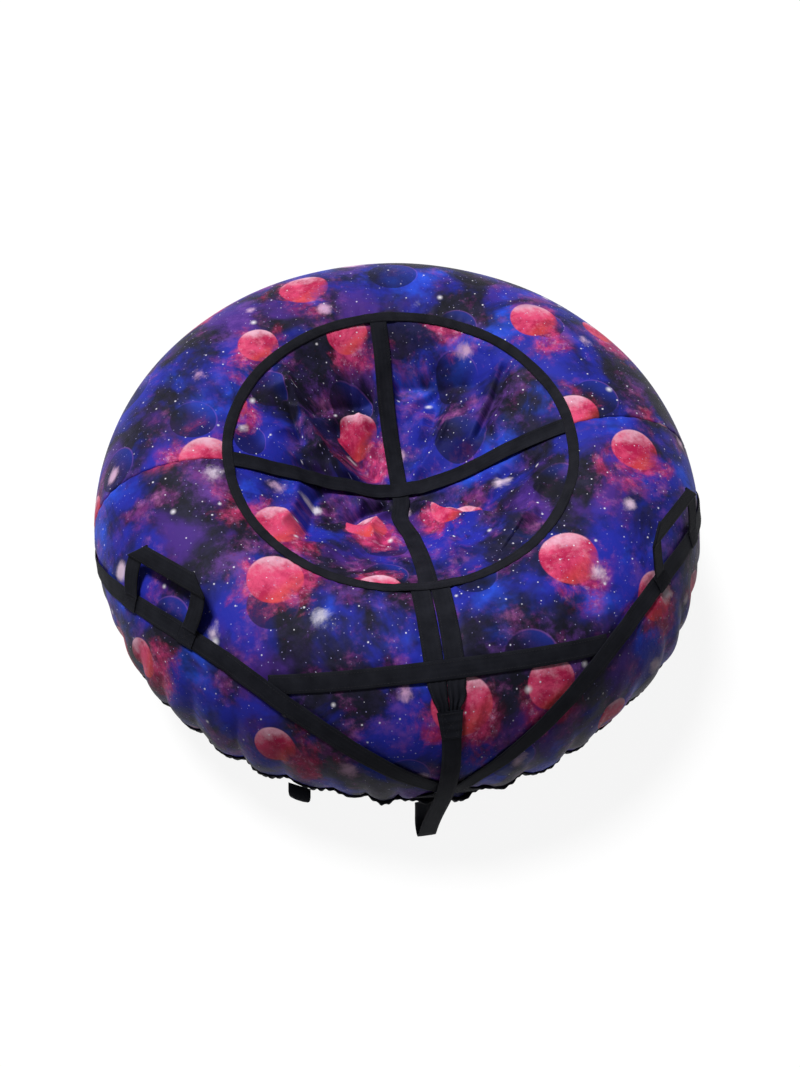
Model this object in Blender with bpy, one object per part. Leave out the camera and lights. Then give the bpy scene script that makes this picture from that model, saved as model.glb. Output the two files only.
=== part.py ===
"""Snow tube: a blown-up rubber inner tube in a sewn cover with webbing straps.

Metres, +Z up. The front, where the tow loop hangs, faces -Y, and the middle
axis of the tube is the Z axis. The cover rests on a flat ring at z = 0.
Round angles run from the front towards +X. Section angles run from the
outermost line of the tube, up over the top and in towards the seat.
"""

import math

import bpy
import numpy as np
from mathutils import Matrix, Vector

# The blown-up shape
OUTER_RADIUS = 0.500
RING_HOLE_RADIUS = 0.154
TUBE_HEIGHT = 0.360

# Cloth, rubber and webbing
COVER_THICKNESS = 0.0012
BOTTOM_THICKNESS = 0.0012
RUBBER_THICKNESS = 0.0018
TUBE_CLEARANCE = 0.0005
SEAM_CLEARANCE = 0.0004
WEBBING_WIDTH = 0.028
WEBBING_THICKNESS = 0.0016
LAYER_CLEARANCE = 0.0006

# Seat
SEAT_RING_RADIUS = 0.271
SEAT_CENTRE_HEIGHT = 0.216
SEAT_LEAVES_TUBE_RADIUS = 0.255
SEAT_MIDDLE_RADIUS = 0.012
SEAT_FOLD_DEPTH = 0.007
SEAT_FOLD_RADIUS = 0.235
BINDING_WIDTH = 0.017
BINDING_THICKNESS = 0.0012

# Hem and underside
HEM_BAND_HEIGHT = 0.025
HEM_BAND_THICKNESS = 0.0016
SCALLOP_DEPTH = 0.005
REST_RING_WIDTH = 0.052
RECESS_DEPTH = 0.012
RECESS_SLOPE_WIDTH = 0.046
RECESS_BEND_WIDTH = 0.015

# Harness
HARNESS_GAP = 0.0014
HARNESS_END_WIDTH = 0.0128
TOW_PATCH_TOP_WIDTH = 0.037
TOW_LOOP_THICKNESS = 0.0020

# Handles
HANDLE_RISE = 0.070
HANDLE_CORNER_RADIUS = 0.005
HANDLE_THICKNESS = 0.0022
HANDLE_TIP_CLEARANCE = 0.0004
HANDLE_FOOT_LENGTH = 0.030

# Hem tab
TAB_WIDTH = 0.026
TAB_THICKNESS = 0.003
TAB_REACH = 0.018
TAB_DROP = 0.038

# Zip
ZIP_LENGTH = 0.400
ZIP_SLOT_WIDTH = 0.020
ZIP_TAPE_WIDTH = 0.018
ZIP_TAPE_THICKNESS = 0.0008
ZIP_ROW_GAP = 0.0016
ZIP_ROW_WIDTH = 0.0030
ZIP_ROW_HEIGHT = 0.0024
ZIP_STOP_LENGTH = 0.006
SLIDER_LENGTH = 0.014
SLIDER_WIDTH = 0.0100
SLIDER_PLATE = 0.0012
SLIDER_WEB = 0.0008
SLIDER_CLEARANCE = 0.0004
PULL_LENGTH = 0.030
PULL_WIDTH = 0.007
PULL_THICKNESS = 0.0014
PULL_PIN_RADIUS = 0.0009
PULL_EYE_RADIUS = 0.0014
LUG_WIDTH = 0.0024

# Valve
VALVE_STEM_RADIUS = 0.0040
VALVE_BORE_RADIUS = 0.0022
VALVE_STEM_LENGTH = 0.040
VALVE_STEM_INSIDE = 0.005
VALVE_HOLE_CLEARANCE = 0.0003
VALVE_BASE_RADIUS = 0.012
VALVE_BASE_THICKNESS = 0.003
VALVE_BASE_GAP = 0.0008
VALVE_NECK_RADIUS = 0.0065
VALVE_NECK_LENGTH = 0.012
VALVE_CAP_RADIUS = 0.0055
VALVE_CAP_LENGTH = 0.011
VALVE_CAP_TOP = 0.0015
VALVE_CAP_CLEARANCE = 0.0003
VALVE_PIN_RADIUS = 0.0008
VALVE_PIN_HEAD_RADIUS = 0.0014
VALVE_PIN_LENGTH = 0.022
VALVE_PIN_HEAD_LENGTH = 0.002
VALVE_PIN_RECESS = 0.0006
VALVE_CORE_LENGTH = 0.010
VALVE_CORE_CLEARANCE = 0.0003

# Round angles in degrees
TURN_STEPS = 48
BINDING_STEPS = 96
HEM_STEPS = 192
HEM_SCALLOPS = 48
SEAT_FOLDS = 12
HANDLE_FRONT_FOOT = 51.5
HANDLE_REAR_FOOT = 66.5
LEFT_HANDLE_LEAN = 84.0
RIGHT_HANDLE_LEAN = 70.0
VALVE_ROUND = 135.0
TAB_ROUND = -26.25

# Section angles in degrees
SECTION_STEP = 15
LEAST_STEP = 1
HEM_SECTION = -26.0
HARNESS_START_SECTION = 106.6
HARNESS_NARROWS_SECTION = 62.0
HARNESS_END_SECTION = 34.5
TOW_PATCH_TOP_SECTION = 46.0
TOW_PATCH_END_SECTION = 33.0

# The girth strap's crest and how fast it falls away on both sides
GIRTH_CREST_SECTION = 47.0
GIRTH_CREST_ROUND = 44.0
GIRTH_FALL = 0.028
GIRTH_END_SECTION = -20.5
GIRTH_STEPS = 42
CROSS_MIDDLE_SECTION = 64.5
CROSS_FALL = 0.0165
CROSS_END_ROUND = 33.0
CROSS_STEPS = 30

# Where a strap climbs over another: full height inside, none outside
GIRTH_CLIMB_ROUNDS = ((0.0, 1.8, 4.8), (33.0, 4.5, 10.0))
CROSS_CLIMB_ROUND = (0.0, 5.0, 10.0)
BINDING_CLIMB_ROUNDS = ((0.0, 7.5, 12.0), (90.0, 4.0, 8.0), (180.0, 4.0, 8.0), (270.0, 4.0, 8.0))
HEM_CLIMB_ROUNDS = ((0.0, 9.5, 14.0), (93.0, 5.0, 10.0), (267.0, 5.0, 10.0))
SEAT_CROSS_CLIMB = (0.0, 0.018, 0.038)

# The tow loop's route, from the patch to the hem: x, then the distance in front
# of the section's middle in half widths, then the height in tube heights
TOW_ROUTE = (
    (0.0000, 0.85780, 0.77667),
    (-0.0005, 0.91908, 0.72444),
    (-0.0015, 0.97110, 0.66389),
    (-0.0035, 1.01734, 0.59167),
    (-0.0070, 1.04913, 0.50000),
    (-0.0120, 1.06243, 0.40278),
    (-0.0180, 1.06705, 0.30556),
    (-0.0235, 1.07052, 0.20833),
    (-0.0270, 1.07283, 0.11944),
    (-0.0285, 1.07052, 0.05556),
    (-0.0290, 1.04624, 0.01944),
    (-0.0293, 0.99711, 0.00611),
    (-0.0296, 0.94913, 0.02000),
    (-0.0300, 0.92717, 0.05556),
    (-0.0306, 0.92023, 0.11944),
    (-0.0312, 0.91329, 0.17778),
    (-0.0318, 0.90520, 0.22778),
)
TOW_POINTS = 56

half_width = (OUTER_RADIUS - RING_HOLE_RADIUS) / 2
half_height = TUBE_HEIGHT / 2
section_centre = OUTER_RADIUS - half_width
strap_top = LAYER_CLEARANCE + WEBBING_THICKNESS
second_layer = strap_top + LAYER_CLEARANCE


def clear_scene():
    for thing in list(bpy.data.objects):
        bpy.data.objects.remove(thing, do_unlink=True)


def make_material(name, colour, roughness, metallic=0.0):
    material = bpy.data.materials.new(name)
    material.use_nodes = True
    shader = material.node_tree.nodes["Principled BSDF"]
    shader.inputs["Base Color"].default_value = (*colour, 1.0)
    shader.inputs["Roughness"].default_value = roughness
    shader.inputs["Metallic"].default_value = metallic
    material.diffuse_color = (*colour, 1.0)
    return material


def signed_volume(points, faces):
    total = 0.0
    for face in faces:
        first = points[face[0]]
        for second, third in zip(face[1:-1], face[2:]):
            total += np.dot(first, np.cross(points[second], points[third]))
    return total


def add_solid(name, points, faces, material, smooth_angle=40.0):
    """Make an object from points and faces, with its faces turned outwards."""
    points = np.asarray(points, dtype=float)
    if signed_volume(points, faces) < 0:
        faces = [list(reversed(face)) for face in faces]
    mesh = bpy.data.meshes.new(name)
    mesh.from_pydata([tuple(point) for point in points], [], [list(face) for face in faces])
    mesh.validate()
    mesh.shade_smooth()
    mesh.set_sharp_from_angle(angle=math.radians(smooth_angle))
    mesh.materials.append(material)
    thing = bpy.data.objects.new(name, mesh)
    bpy.context.scene.collection.objects.link(thing)
    return thing


def sheet_solid(name, outer, inner, material, wrap=False, middle=False, both=False):
    """A thick sheet between two grids of points.

    wrap joins the grid's first and last rows. middle closes the last column
    with a flat disc on each side. both joins the columns too, into a hollow ring.
    """
    rows, columns = outer.shape[:2]
    points = np.concatenate([outer.reshape(-1, 3), inner.reshape(-1, 3)])
    shift = rows * columns

    def at(row, column):
        return (row % rows) * columns + (column % columns)

    faces = []
    for row in range(rows if wrap else rows - 1):
        for column in range(columns if both else columns - 1):
            quad = [at(row, column), at(row + 1, column)]
            quad += [at(row + 1, column + 1), at(row, column + 1)]
            faces.append(quad)
            faces.append([shift + index for index in reversed(quad)])
        if both:
            continue
        near = [at(row + 1, 0), at(row, 0)]
        faces.append(near + [shift + near[1], shift + near[0]])
        if not middle:
            far = [at(row, columns - 1), at(row + 1, columns - 1)]
            faces.append(far + [shift + far[1], shift + far[0]])
    if middle:
        disc = [at(row, columns - 1) for row in range(rows)]
        faces.append(disc)
        faces.append([shift + index for index in reversed(disc)])
    if not wrap:
        for column in range(columns - 1):
            start = [at(0, column), at(0, column + 1)]
            faces.append(start + [shift + start[1], shift + start[0]])
            end = [at(rows - 1, column + 1), at(rows - 1, column)]
            faces.append(end + [shift + end[1], shift + end[0]])
    return add_solid(name, points, faces, material)


def turned_solid(name, outline, steps, material, closed):
    """Turn an outline of radius and height pairs round the local Z axis.

    A closed outline makes a ring. An open one starts and ends on the axis.
    """
    points = []
    rings = []
    for radius, height in outline:
        if radius == 0:
            rings.append([len(points)])
            points.append((0, 0, height))
            continue
        rings.append(list(range(len(points), len(points) + steps)))
        for step in range(steps):
            angle = 2 * math.pi * step / steps
            points.append((radius * math.cos(angle), radius * math.sin(angle), height))
    faces = []
    pairs = list(zip(rings[:-1], rings[1:]))
    if closed:
        pairs.append((rings[-1], rings[0]))
    for first, second in pairs:
        for step in range(steps):
            face = [first[step % len(first)], first[(step + 1) % len(first)]]
            face += [second[(step + 1) % len(second)], second[step % len(second)]]
            faces.append(list(dict.fromkeys(face)))
    return add_solid(name, points, faces, material)


def block_solid(name, size, centre, material):
    """A box by its size and centre."""
    corners = []
    for z_side in (-1, 1):
        for x_side, y_side in ((-1, -1), (1, -1), (1, 1), (-1, 1)):
            offset = np.array((x_side, y_side, z_side)) * np.array(size) / 2
            corners.append(np.array(centre) + offset)
    faces = [[3, 2, 1, 0], [4, 5, 6, 7]]
    faces += [[side, (side + 1) % 4, (side + 1) % 4 + 4, side + 4] for side in range(4)]
    return add_solid(name, corners, faces, material)


def cut_away(target, cutter):
    """Cut one object with another and keep the cutter as a guide."""
    cutter.hide_render = True
    cutter.display_type = "WIRE"
    cut = target.modifiers.new("Cut", "BOOLEAN")
    cut.operation = "DIFFERENCE"
    cut.solver = "EXACT"
    cut.object = cutter


def ease(value):
    value = np.clip(value, 0.0, 1.0)
    return value * value * (3 - 2 * value)


def climb(position, centre, full, none):
    """1 near the centre, falling to 0 between the full and none distances."""
    return 1 - ease((abs(position - centre) - full) / (none - full))


def climb_round(angle, places):
    """The highest climb at a round angle, for places given in degrees."""
    best = 0.0
    for centre, full, none in places:
        away = (angle - centre + 180.0) % 360.0 - 180.0
        best = max(best, climb(away, 0.0, full, none))
    return best


def skin_profile(section, lift=0.0):
    """Radius and height on the blown-up section, lifted along its normal."""
    angle = math.radians(section)
    normal = np.array((math.cos(angle) / half_width, math.sin(angle) / half_height))
    normal /= np.linalg.norm(normal)
    radius = section_centre + half_width * math.cos(angle) + lift * normal[0]
    height = half_height + half_height * math.sin(angle) + lift * normal[1]
    return radius, height


def place_round(radius, height, angle):
    turn = math.radians(angle)
    return np.array((radius * math.sin(turn), -radius * math.cos(turn), height))


def skin_point(angle, section, lift=0.0):
    radius, height = skin_profile(section, lift)
    return place_round(radius, height, angle)


def section_at_radius(radius):
    """Section angle on the inner top side of the tube for a radius."""
    return math.degrees(math.acos((radius - section_centre) / half_width))


def section_degrees(length):
    """Degrees of section angle that a length along the section takes."""
    return math.degrees(length / ((half_width + half_height) / 2))


def seat_height(radius):
    """The seat panel follows the tube, then falls to its middle as a cubic."""
    leave_section = section_at_radius(SEAT_LEAVES_TUBE_RADIUS)
    leave_height = skin_profile(leave_section)[1]
    if radius >= SEAT_LEAVES_TUBE_RADIUS:
        return skin_profile(section_at_radius(radius))[1]
    angle = math.radians(leave_section)
    slope = -half_height * math.cos(angle) / (half_width * math.sin(angle))
    share = radius / SEAT_LEAVES_TUBE_RADIUS
    square = share * share
    cube = square * share
    start_share = 2 * cube - 3 * square + 1
    slope_share = cube - square
    height = SEAT_CENTRE_HEIGHT * start_share + leave_height * (1 - start_share)
    return height + slope * SEAT_LEAVES_TUBE_RADIUS * slope_share


def seat_normal(radius):
    step = SEAT_MIDDLE_RADIUS / 8
    low = max(radius - step, 0.0)
    rise = seat_height(radius + step) - seat_height(low)
    normal = np.array((-rise, radius + step - low))
    return normal / np.linalg.norm(normal)


def seat_point(angle, radius, lift):
    normal = seat_normal(radius)
    place = np.array((radius, seat_height(radius))) + lift * normal
    return place_round(place[0], place[1], angle)


def sections_down(high, low):
    """Both ends, and the section steps between them that all skins share."""
    steps = range(360, -360, -SECTION_STEP)
    between = [step for step in steps if low + LEAST_STEP < step < high - LEAST_STEP]
    return [high] + between + [low]


def girth_section(angle):
    return GIRTH_CREST_SECTION - GIRTH_FALL * (angle - GIRTH_CREST_ROUND) ** 2


def strap_on_skin(name, route, material, base, widths, climbs, thickness=WEBBING_THICKNESS):
    """Webbing that lies on the blown-up skin along round and section angles."""
    route = np.asarray(route, dtype=float)
    slopes = np.gradient(route, axis=0)
    outer = []
    inner = []
    for (angle, section), slope, width, rise in zip(route, slopes, widths, climbs):
        turn = math.radians(section)
        radius = skin_profile(section)[0]
        arc = math.hypot(half_width * math.sin(turn), half_height * math.cos(turn))
        along = np.array((radius * slope[0], arc * slope[1]))
        along /= np.linalg.norm(along)
        outer_row = []
        inner_row = []
        for share in (-0.5, 0.0, 0.5):
            side = share * width
            side_angle = angle + math.degrees(-along[1] * side / radius)
            side_section = section + math.degrees(along[0] * side / arc)
            low = base + rise * strap_top
            outer_row.append(skin_point(side_angle, side_section, low + thickness))
            inner_row.append(skin_point(side_angle, side_section, low))
        outer.append(outer_row)
        inner.append(inner_row)
    return sheet_solid(name, np.array(outer), np.array(inner), material)


def round_angles(steps):
    return [360.0 * step / steps for step in range(steps)]


def build_inner_tube(material, cutter_material):
    lift = -COVER_THICKNESS - TUBE_CLEARANCE
    sections = range(0, 360, SECTION_STEP)
    outer = []
    inner = []
    for angle in round_angles(TURN_STEPS):
        outer.append([skin_point(angle, section, lift) for section in sections])
        depth = lift - RUBBER_THICKNESS
        inner.append([skin_point(angle, section, depth) for section in sections])
    tube = sheet_solid(
        "inner_tube", np.array(outer), np.array(inner), material, wrap=True, both=True
    )
    hole = VALVE_STEM_RADIUS + VALVE_HOLE_CLEARANCE
    reach = VALVE_STEM_INSIDE + VALVE_BASE_THICKNESS
    outline = ((0, -reach), (hole, -reach), (hole, reach), (0, reach))
    cutter = turned_solid("valve_hole_cutter", outline, 16, cutter_material, closed=False)
    cutter.matrix_world = valve_frame()
    cut_away(tube, cutter)
    return tube


def cover_grid(angles, sections, lift):
    return np.array([[skin_point(a, s, lift) for s in sections] for a in angles])


def build_cover_half(name, middle_angle, material):
    """One half of the printed cover, from the seat seam down to the hem."""
    seam = math.degrees(SEAM_CLEARANCE / 2 / section_centre)
    angles = np.linspace(middle_angle - 90.0 + seam, middle_angle + 90.0 - seam, TURN_STEPS // 2 + 1)
    top = section_at_radius(SEAT_RING_RADIUS + SEAM_CLEARANCE / 2)
    sections = sections_down(top, HEM_SECTION + section_degrees(SEAM_CLEARANCE / 2))
    outer = cover_grid(angles, sections, 0.0)
    inner = cover_grid(angles, sections, -COVER_THICKNESS)
    return sheet_solid(name, outer, inner, material)


def build_seat_panel(material):
    """The dished seat cloth, with its main folds falling between the straps."""
    edge = SEAT_RING_RADIUS - SEAM_CLEARANCE / 2
    radius_shares = (1.0, 0.965, 0.925, 0.86, 0.77, 0.67, 0.57, 0.48, 0.40, 0.32, 0.24, 0.17, 0.10)
    radii = [edge * share for share in radius_shares] + [SEAT_MIDDLE_RADIUS]
    outer = []
    inner = []
    for angle in round_angles(TURN_STEPS):
        wave = (1 - math.cos(math.radians(SEAT_FOLDS * angle))) / 2
        outer_row = []
        inner_row = []
        for radius in radii:
            share = min(radius / SEAT_FOLD_RADIUS, 1.0)
            middle_share = 4 * share * (1 - share)
            depth = SEAT_FOLD_DEPTH * wave * middle_share**2
            outer_row.append(seat_point(angle, radius, -depth))
            inner_row.append(seat_point(angle, radius, -depth - COVER_THICKNESS))
        outer.append(outer_row)
        inner.append(inner_row)
    return sheet_solid(
        "seat_panel", np.array(outer), np.array(inner), material, wrap=True, middle=True
    )


def build_seat_binding(material):
    """The black tape round the seat, which climbs over the ends of the straps."""
    radius_out = SEAT_RING_RADIUS + BINDING_WIDTH / 2
    radius_in = SEAT_RING_RADIUS - BINDING_WIDTH / 2
    sections = np.linspace(section_at_radius(radius_out), section_at_radius(radius_in), 3)
    outer = []
    inner = []
    for angle in round_angles(BINDING_STEPS):
        low = LAYER_CLEARANCE + climb_round(angle, BINDING_CLIMB_ROUNDS) * strap_top
        outer.append([skin_point(angle, s, low + BINDING_THICKNESS) for s in sections])
        inner.append([skin_point(angle, s, low) for s in sections])
    return sheet_solid(
        "seat_ring_binding", np.array(outer), np.array(inner), material, wrap=True
    )


def build_hem_band(material):
    """The gathered hem: a scalloped band over the seam of cover and underside."""
    half_span = section_degrees(HEM_BAND_HEIGHT / 2)
    sections = np.linspace(HEM_SECTION + half_span, HEM_SECTION - half_span, 3)
    outer = []
    inner = []
    for angle in round_angles(HEM_STEPS):
        wave = (1 - math.cos(math.radians(HEM_SCALLOPS * angle))) / 2
        low = LAYER_CLEARANCE + climb_round(angle, HEM_CLIMB_ROUNDS) * strap_top
        lifts = [low, low + SCALLOP_DEPTH * wave, low + SCALLOP_DEPTH * wave]
        pairs = list(zip(sections, lifts))
        outer.append([skin_point(angle, s, lift + HEM_BAND_THICKNESS) for s, lift in pairs])
        inner.append([skin_point(angle, s, lift) for s, lift in pairs])
    return sheet_solid("hem_band", np.array(outer), np.array(inner), material, wrap=True)


def underside_profile():
    """Radius and height pairs of the underside's outer face, hem to middle."""
    start = HEM_SECTION - section_degrees(SEAM_CLEARANCE / 2)
    rest_out = section_centre + REST_RING_WIDTH / 2
    rest_in = section_centre - REST_RING_WIDTH / 2
    last = -math.degrees(math.acos((rest_out + REST_RING_WIDTH / 2 - section_centre) / half_width))
    profile = [skin_profile(section) for section in sections_down(start, last)]
    profile += [(rest_out, 0.0), (rest_in, 0.0)]
    recess_out = rest_in - RECESS_SLOPE_WIDTH
    profile += [(recess_out + RECESS_BEND_WIDTH, RECESS_DEPTH / 2)]
    profile += [(recess_out, RECESS_DEPTH), (SEAT_MIDDLE_RADIUS, RECESS_DEPTH)]
    return np.array(profile)


def build_bottom_panel(material, cutter_material):
    """The black underside: up the side to the hem, flat where it rests."""
    profile = underside_profile()
    slopes = np.gradient(profile, axis=0)
    inward = np.stack([slopes[:, 1], -slopes[:, 0]], axis=1)
    inward /= np.linalg.norm(inward, axis=1)[:, None]
    inner_profile = profile + BOTTOM_THICKNESS * inward
    outer = []
    inner = []
    for angle in round_angles(TURN_STEPS):
        outer.append([place_round(r, z, angle) for r, z in profile])
        inner.append([place_round(r, z, angle) for r, z in inner_profile])
    panel = sheet_solid(
        "bottom_panel", np.array(outer), np.array(inner), material, wrap=True, middle=True
    )
    size = (ZIP_LENGTH, ZIP_SLOT_WIDTH, 2 * RECESS_DEPTH)
    cutter = block_solid("zip_slot_cutter", size, (0, 0, RECESS_DEPTH), cutter_material)
    cut_away(panel, cutter)
    return panel


def build_seat_strap(name, across, climb_height, material):
    """A strap over the seat, along Y or across it along X."""
    reach = SEAT_RING_RADIUS - BINDING_WIDTH / 4
    outer = []
    inner = []
    for along in np.linspace(-reach, reach, 33):
        rise = climb_height * climb(along, *SEAT_CROSS_CLIMB)
        outer_row = []
        inner_row = []
        for share in (-0.5, 0.0, 0.5):
            side = share * WEBBING_WIDTH
            x, y = (along, side) if across else (side, along)
            angle = math.degrees(math.atan2(x, -y))
            radius = math.hypot(x, y)
            low = LAYER_CLEARANCE + rise
            outer_row.append(seat_point(angle, radius, low + WEBBING_THICKNESS))
            inner_row.append(seat_point(angle, radius, low))
        outer.append(outer_row)
        inner.append(inner_row)
    return sheet_solid(name, np.array(outer), np.array(inner), material)


def build_harness_strap(name, side, material):
    """One of the twin straps from the seat ring down to the tow patch."""
    sections = np.linspace(HARNESS_START_SECTION, HARNESS_END_SECTION, 22)
    span = HARNESS_NARROWS_SECTION - TOW_PATCH_TOP_SECTION
    narrow = ease((HARNESS_NARROWS_SECTION - sections) / span)
    widths = WEBBING_WIDTH + (HARNESS_END_WIDTH - WEBBING_WIDTH) * narrow
    route = []
    for section, width in zip(sections, widths):
        offset = side * (width + HARNESS_GAP) / 2
        radius = skin_profile(section)[0]
        route.append((math.degrees(math.asin(offset / radius)), section))
    climbs = np.zeros(len(sections))
    return strap_on_skin(name, route, material, LAYER_CLEARANCE, widths, climbs)


def build_tow_patch(material):
    """The stitched patch that gathers both harness straps into the tow loop."""
    sections = np.linspace(TOW_PATCH_TOP_SECTION, TOW_PATCH_END_SECTION, 5)
    widths = np.linspace(TOW_PATCH_TOP_WIDTH, WEBBING_WIDTH, len(sections))
    route = [(0.0, section) for section in sections]
    climbs = np.zeros(len(sections))
    return strap_on_skin("tow_patch", route, material, second_layer, widths, climbs)


def build_cross_strap(material):
    angles = np.linspace(-CROSS_END_ROUND, CROSS_END_ROUND, CROSS_STEPS + 1)
    route = [(angle, CROSS_MIDDLE_SECTION - CROSS_FALL * angle**2) for angle in angles]
    widths = np.full(len(angles), WEBBING_WIDTH)
    climbs = [climb_round(angle, (CROSS_CLIMB_ROUND,)) for angle in angles]
    return strap_on_skin("front_cross_strap", route, material, LAYER_CLEARANCE, widths, climbs)


def girth_angles():
    spread = math.sqrt((GIRTH_CREST_SECTION - GIRTH_END_SECTION) / GIRTH_FALL)
    return np.linspace(GIRTH_CREST_ROUND - spread, GIRTH_CREST_ROUND + spread, GIRTH_STEPS + 1)


def build_girth_strap(name, side, climb_places, material):
    angles = girth_angles()
    route = [(side * angle, girth_section(angle)) for angle in angles]
    widths = np.full(len(angles), WEBBING_WIDTH)
    climbs = [climb_round(angle, climb_places) for angle in angles]
    return strap_on_skin(name, route, material, LAYER_CLEARANCE, widths, climbs)


def build_handle_foot(name, side, foot, material):
    """The stitched foot of a handle, flat on the girth strap."""
    radius = skin_profile(girth_section(foot))[0]
    reach = math.degrees(HANDLE_FOOT_LENGTH / 2 / radius)
    angles = np.linspace(foot - reach, foot + reach, 5)
    route = [(side * angle, girth_section(angle)) for angle in angles]
    widths = np.full(len(angles), WEBBING_WIDTH)
    climbs = np.zeros(len(angles))
    return strap_on_skin(name, route, material, second_layer, widths, climbs)


def handle_frame(side):
    """Axis middle, and the along, across and rise directions of a handle.

    The axis runs over the inner edges of both feet. It clears the higher of the two
    spots on the feet where the inner edges of the handle's legs stand.
    """
    inward_turn = section_degrees(WEBBING_WIDTH / 2 - HANDLE_THICKNESS)
    foot_top = second_layer + WEBBING_THICKNESS
    feet = []
    crests = []
    normals = []
    for foot, towards in ((HANDLE_FRONT_FOOT, 1), (HANDLE_REAR_FOOT, -1)):
        section = girth_section(foot) + inward_turn
        radius = skin_profile(section)[0]
        inner_edge = foot + towards * math.degrees(WEBBING_WIDTH / 2 / radius)
        inner_section = girth_section(inner_edge) + inward_turn
        feet.append(skin_point(side * foot, section, foot_top))
        crests.append(Vector(skin_point(side * inner_edge, inner_section, foot_top)))
        normals.append(feet[-1] - skin_point(side * foot, section))
    along = Vector(feet[1] - feet[0])
    length = along.length
    along.normalize()
    normal = Vector(normals[0] + normals[1])
    normal = (normal - normal.dot(along) * along).normalized()
    middle = Vector((feet[0] + feet[1]) / 2)
    crown = max((crest - middle).dot(normal) for crest in crests)
    inward = normal.cross(along) * side
    lean = math.radians(RIGHT_HANDLE_LEAN if side > 0 else LEFT_HANDLE_LEAN)
    rise = normal * math.cos(lean) + inward * math.sin(lean)
    across = rise.cross(along).normalized()
    frame = Matrix((along, across, rise)).transposed().to_4x4()
    frame.translation = middle + normal * (crown + HANDLE_TIP_CLEARANCE + HANDLE_THICKNESS / 2)
    return frame, length


def handle_stations(length):
    """Outer and inner edge and half thickness along a flat handle folded at two mitres.

    The tips are half-round on the axis. A mitre cuts the corner off from edge to edge.
    """
    half = WEBBING_WIDTH / 2
    outside = -length / 2 - half
    inside = -length / 2 + half
    top = HANDLE_RISE + half
    bottom = HANDLE_RISE - half
    stations = []
    for angle in (20.0, 45.0, 70.0, 90.0):
        height = -math.cos(math.radians(angle)) * HANDLE_THICKNESS / 2
        thick = math.sin(math.radians(angle)) * HANDLE_THICKNESS / 2
        stations.append(((outside, height), (inside, height), thick))
    for share in np.linspace(0.0, 1.0, 5):
        turn = share * math.pi / 2
        mitre = (outside + share * WEBBING_WIDTH, bottom + share * WEBBING_WIDTH)
        along = inside + HANDLE_CORNER_RADIUS * (1 - math.cos(turn))
        height = bottom - HANDLE_CORNER_RADIUS * (1 - math.sin(turn))
        stations.append((mitre, (along, height), HANDLE_THICKNESS / 2))
    mirrored = []
    for outer_edge, inner_edge, thick in reversed(stations):
        edges = [(-along, height) for along, height in (outer_edge, inner_edge)]
        mirrored.append((edges[0], edges[1], thick))
    return stations + mirrored


def build_handle(name, side, material):
    frame, length = handle_frame(side)
    outer = []
    inner = []
    for outer_edge, inner_edge, thick in handle_stations(length):
        edges = (outer_edge, inner_edge)
        outer.append([(along, thick, height) for along, height in edges])
        inner.append([(along, -thick, height) for along, height in edges])
    handle = sheet_solid(name, np.array(outer), np.array(inner), material)
    handle.matrix_world = frame
    return handle


def smooth_route(points, count):
    """Evenly spaced points on a smooth curve through the given ones."""
    points = np.asarray(points, dtype=float)
    padded = np.vstack([2 * points[0] - points[1], points, 2 * points[-1] - points[-2]])
    dense = []
    for index in range(1, len(padded) - 2):
        before, start, end, after = padded[index - 1:index + 3]
        for share in np.linspace(0.0, 1.0, 16, endpoint=False):
            square = share * share
            cube = square * share
            pull = (-cube + 2 * square - share) * before + (cube - square) * after
            hold = (3 * cube - 5 * square + 2) * start + (-3 * cube + 4 * square + share) * end
            dense.append((pull + hold) / 2)
    dense = np.array(dense + [points[-1]])
    steps = np.linalg.norm(np.diff(dense, axis=0), axis=1)
    lengths = np.concatenate([[0.0], np.cumsum(steps)])
    wanted = np.linspace(0.0, lengths[-1], count)
    return np.stack([np.interp(wanted, lengths, dense[:, axis]) for axis in range(3)], axis=1)


def build_tow_loop(material):
    """The free webbing loop from the tow patch down and back to the hem."""
    shares = np.array(TOW_ROUTE)
    front = -(section_centre + half_width * shares[:, 1])
    corners = np.stack([shares[:, 0], front, TUBE_HEIGHT * shares[:, 2]], axis=1)
    route = smooth_route(corners, TOW_POINTS)
    tangents = np.gradient(route, axis=0)
    tangents /= np.linalg.norm(tangents, axis=1)[:, None]
    outer = []
    inner = []
    for point, tangent in zip(route, tangents):
        side = np.array((1.0, 0.0, 0.0)) - tangent[0] * tangent
        side /= np.linalg.norm(side)
        normal = np.cross(side, tangent)
        thick = normal * TOW_LOOP_THICKNESS / 2
        ends = [sign * WEBBING_WIDTH / 2 * side for sign in (-1, 1)]
        outer.append([point + end + thick for end in ends])
        inner.append([point + end - thick for end in ends])
    return sheet_solid("tow_loop", np.array(outer), np.array(inner), material)


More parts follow.
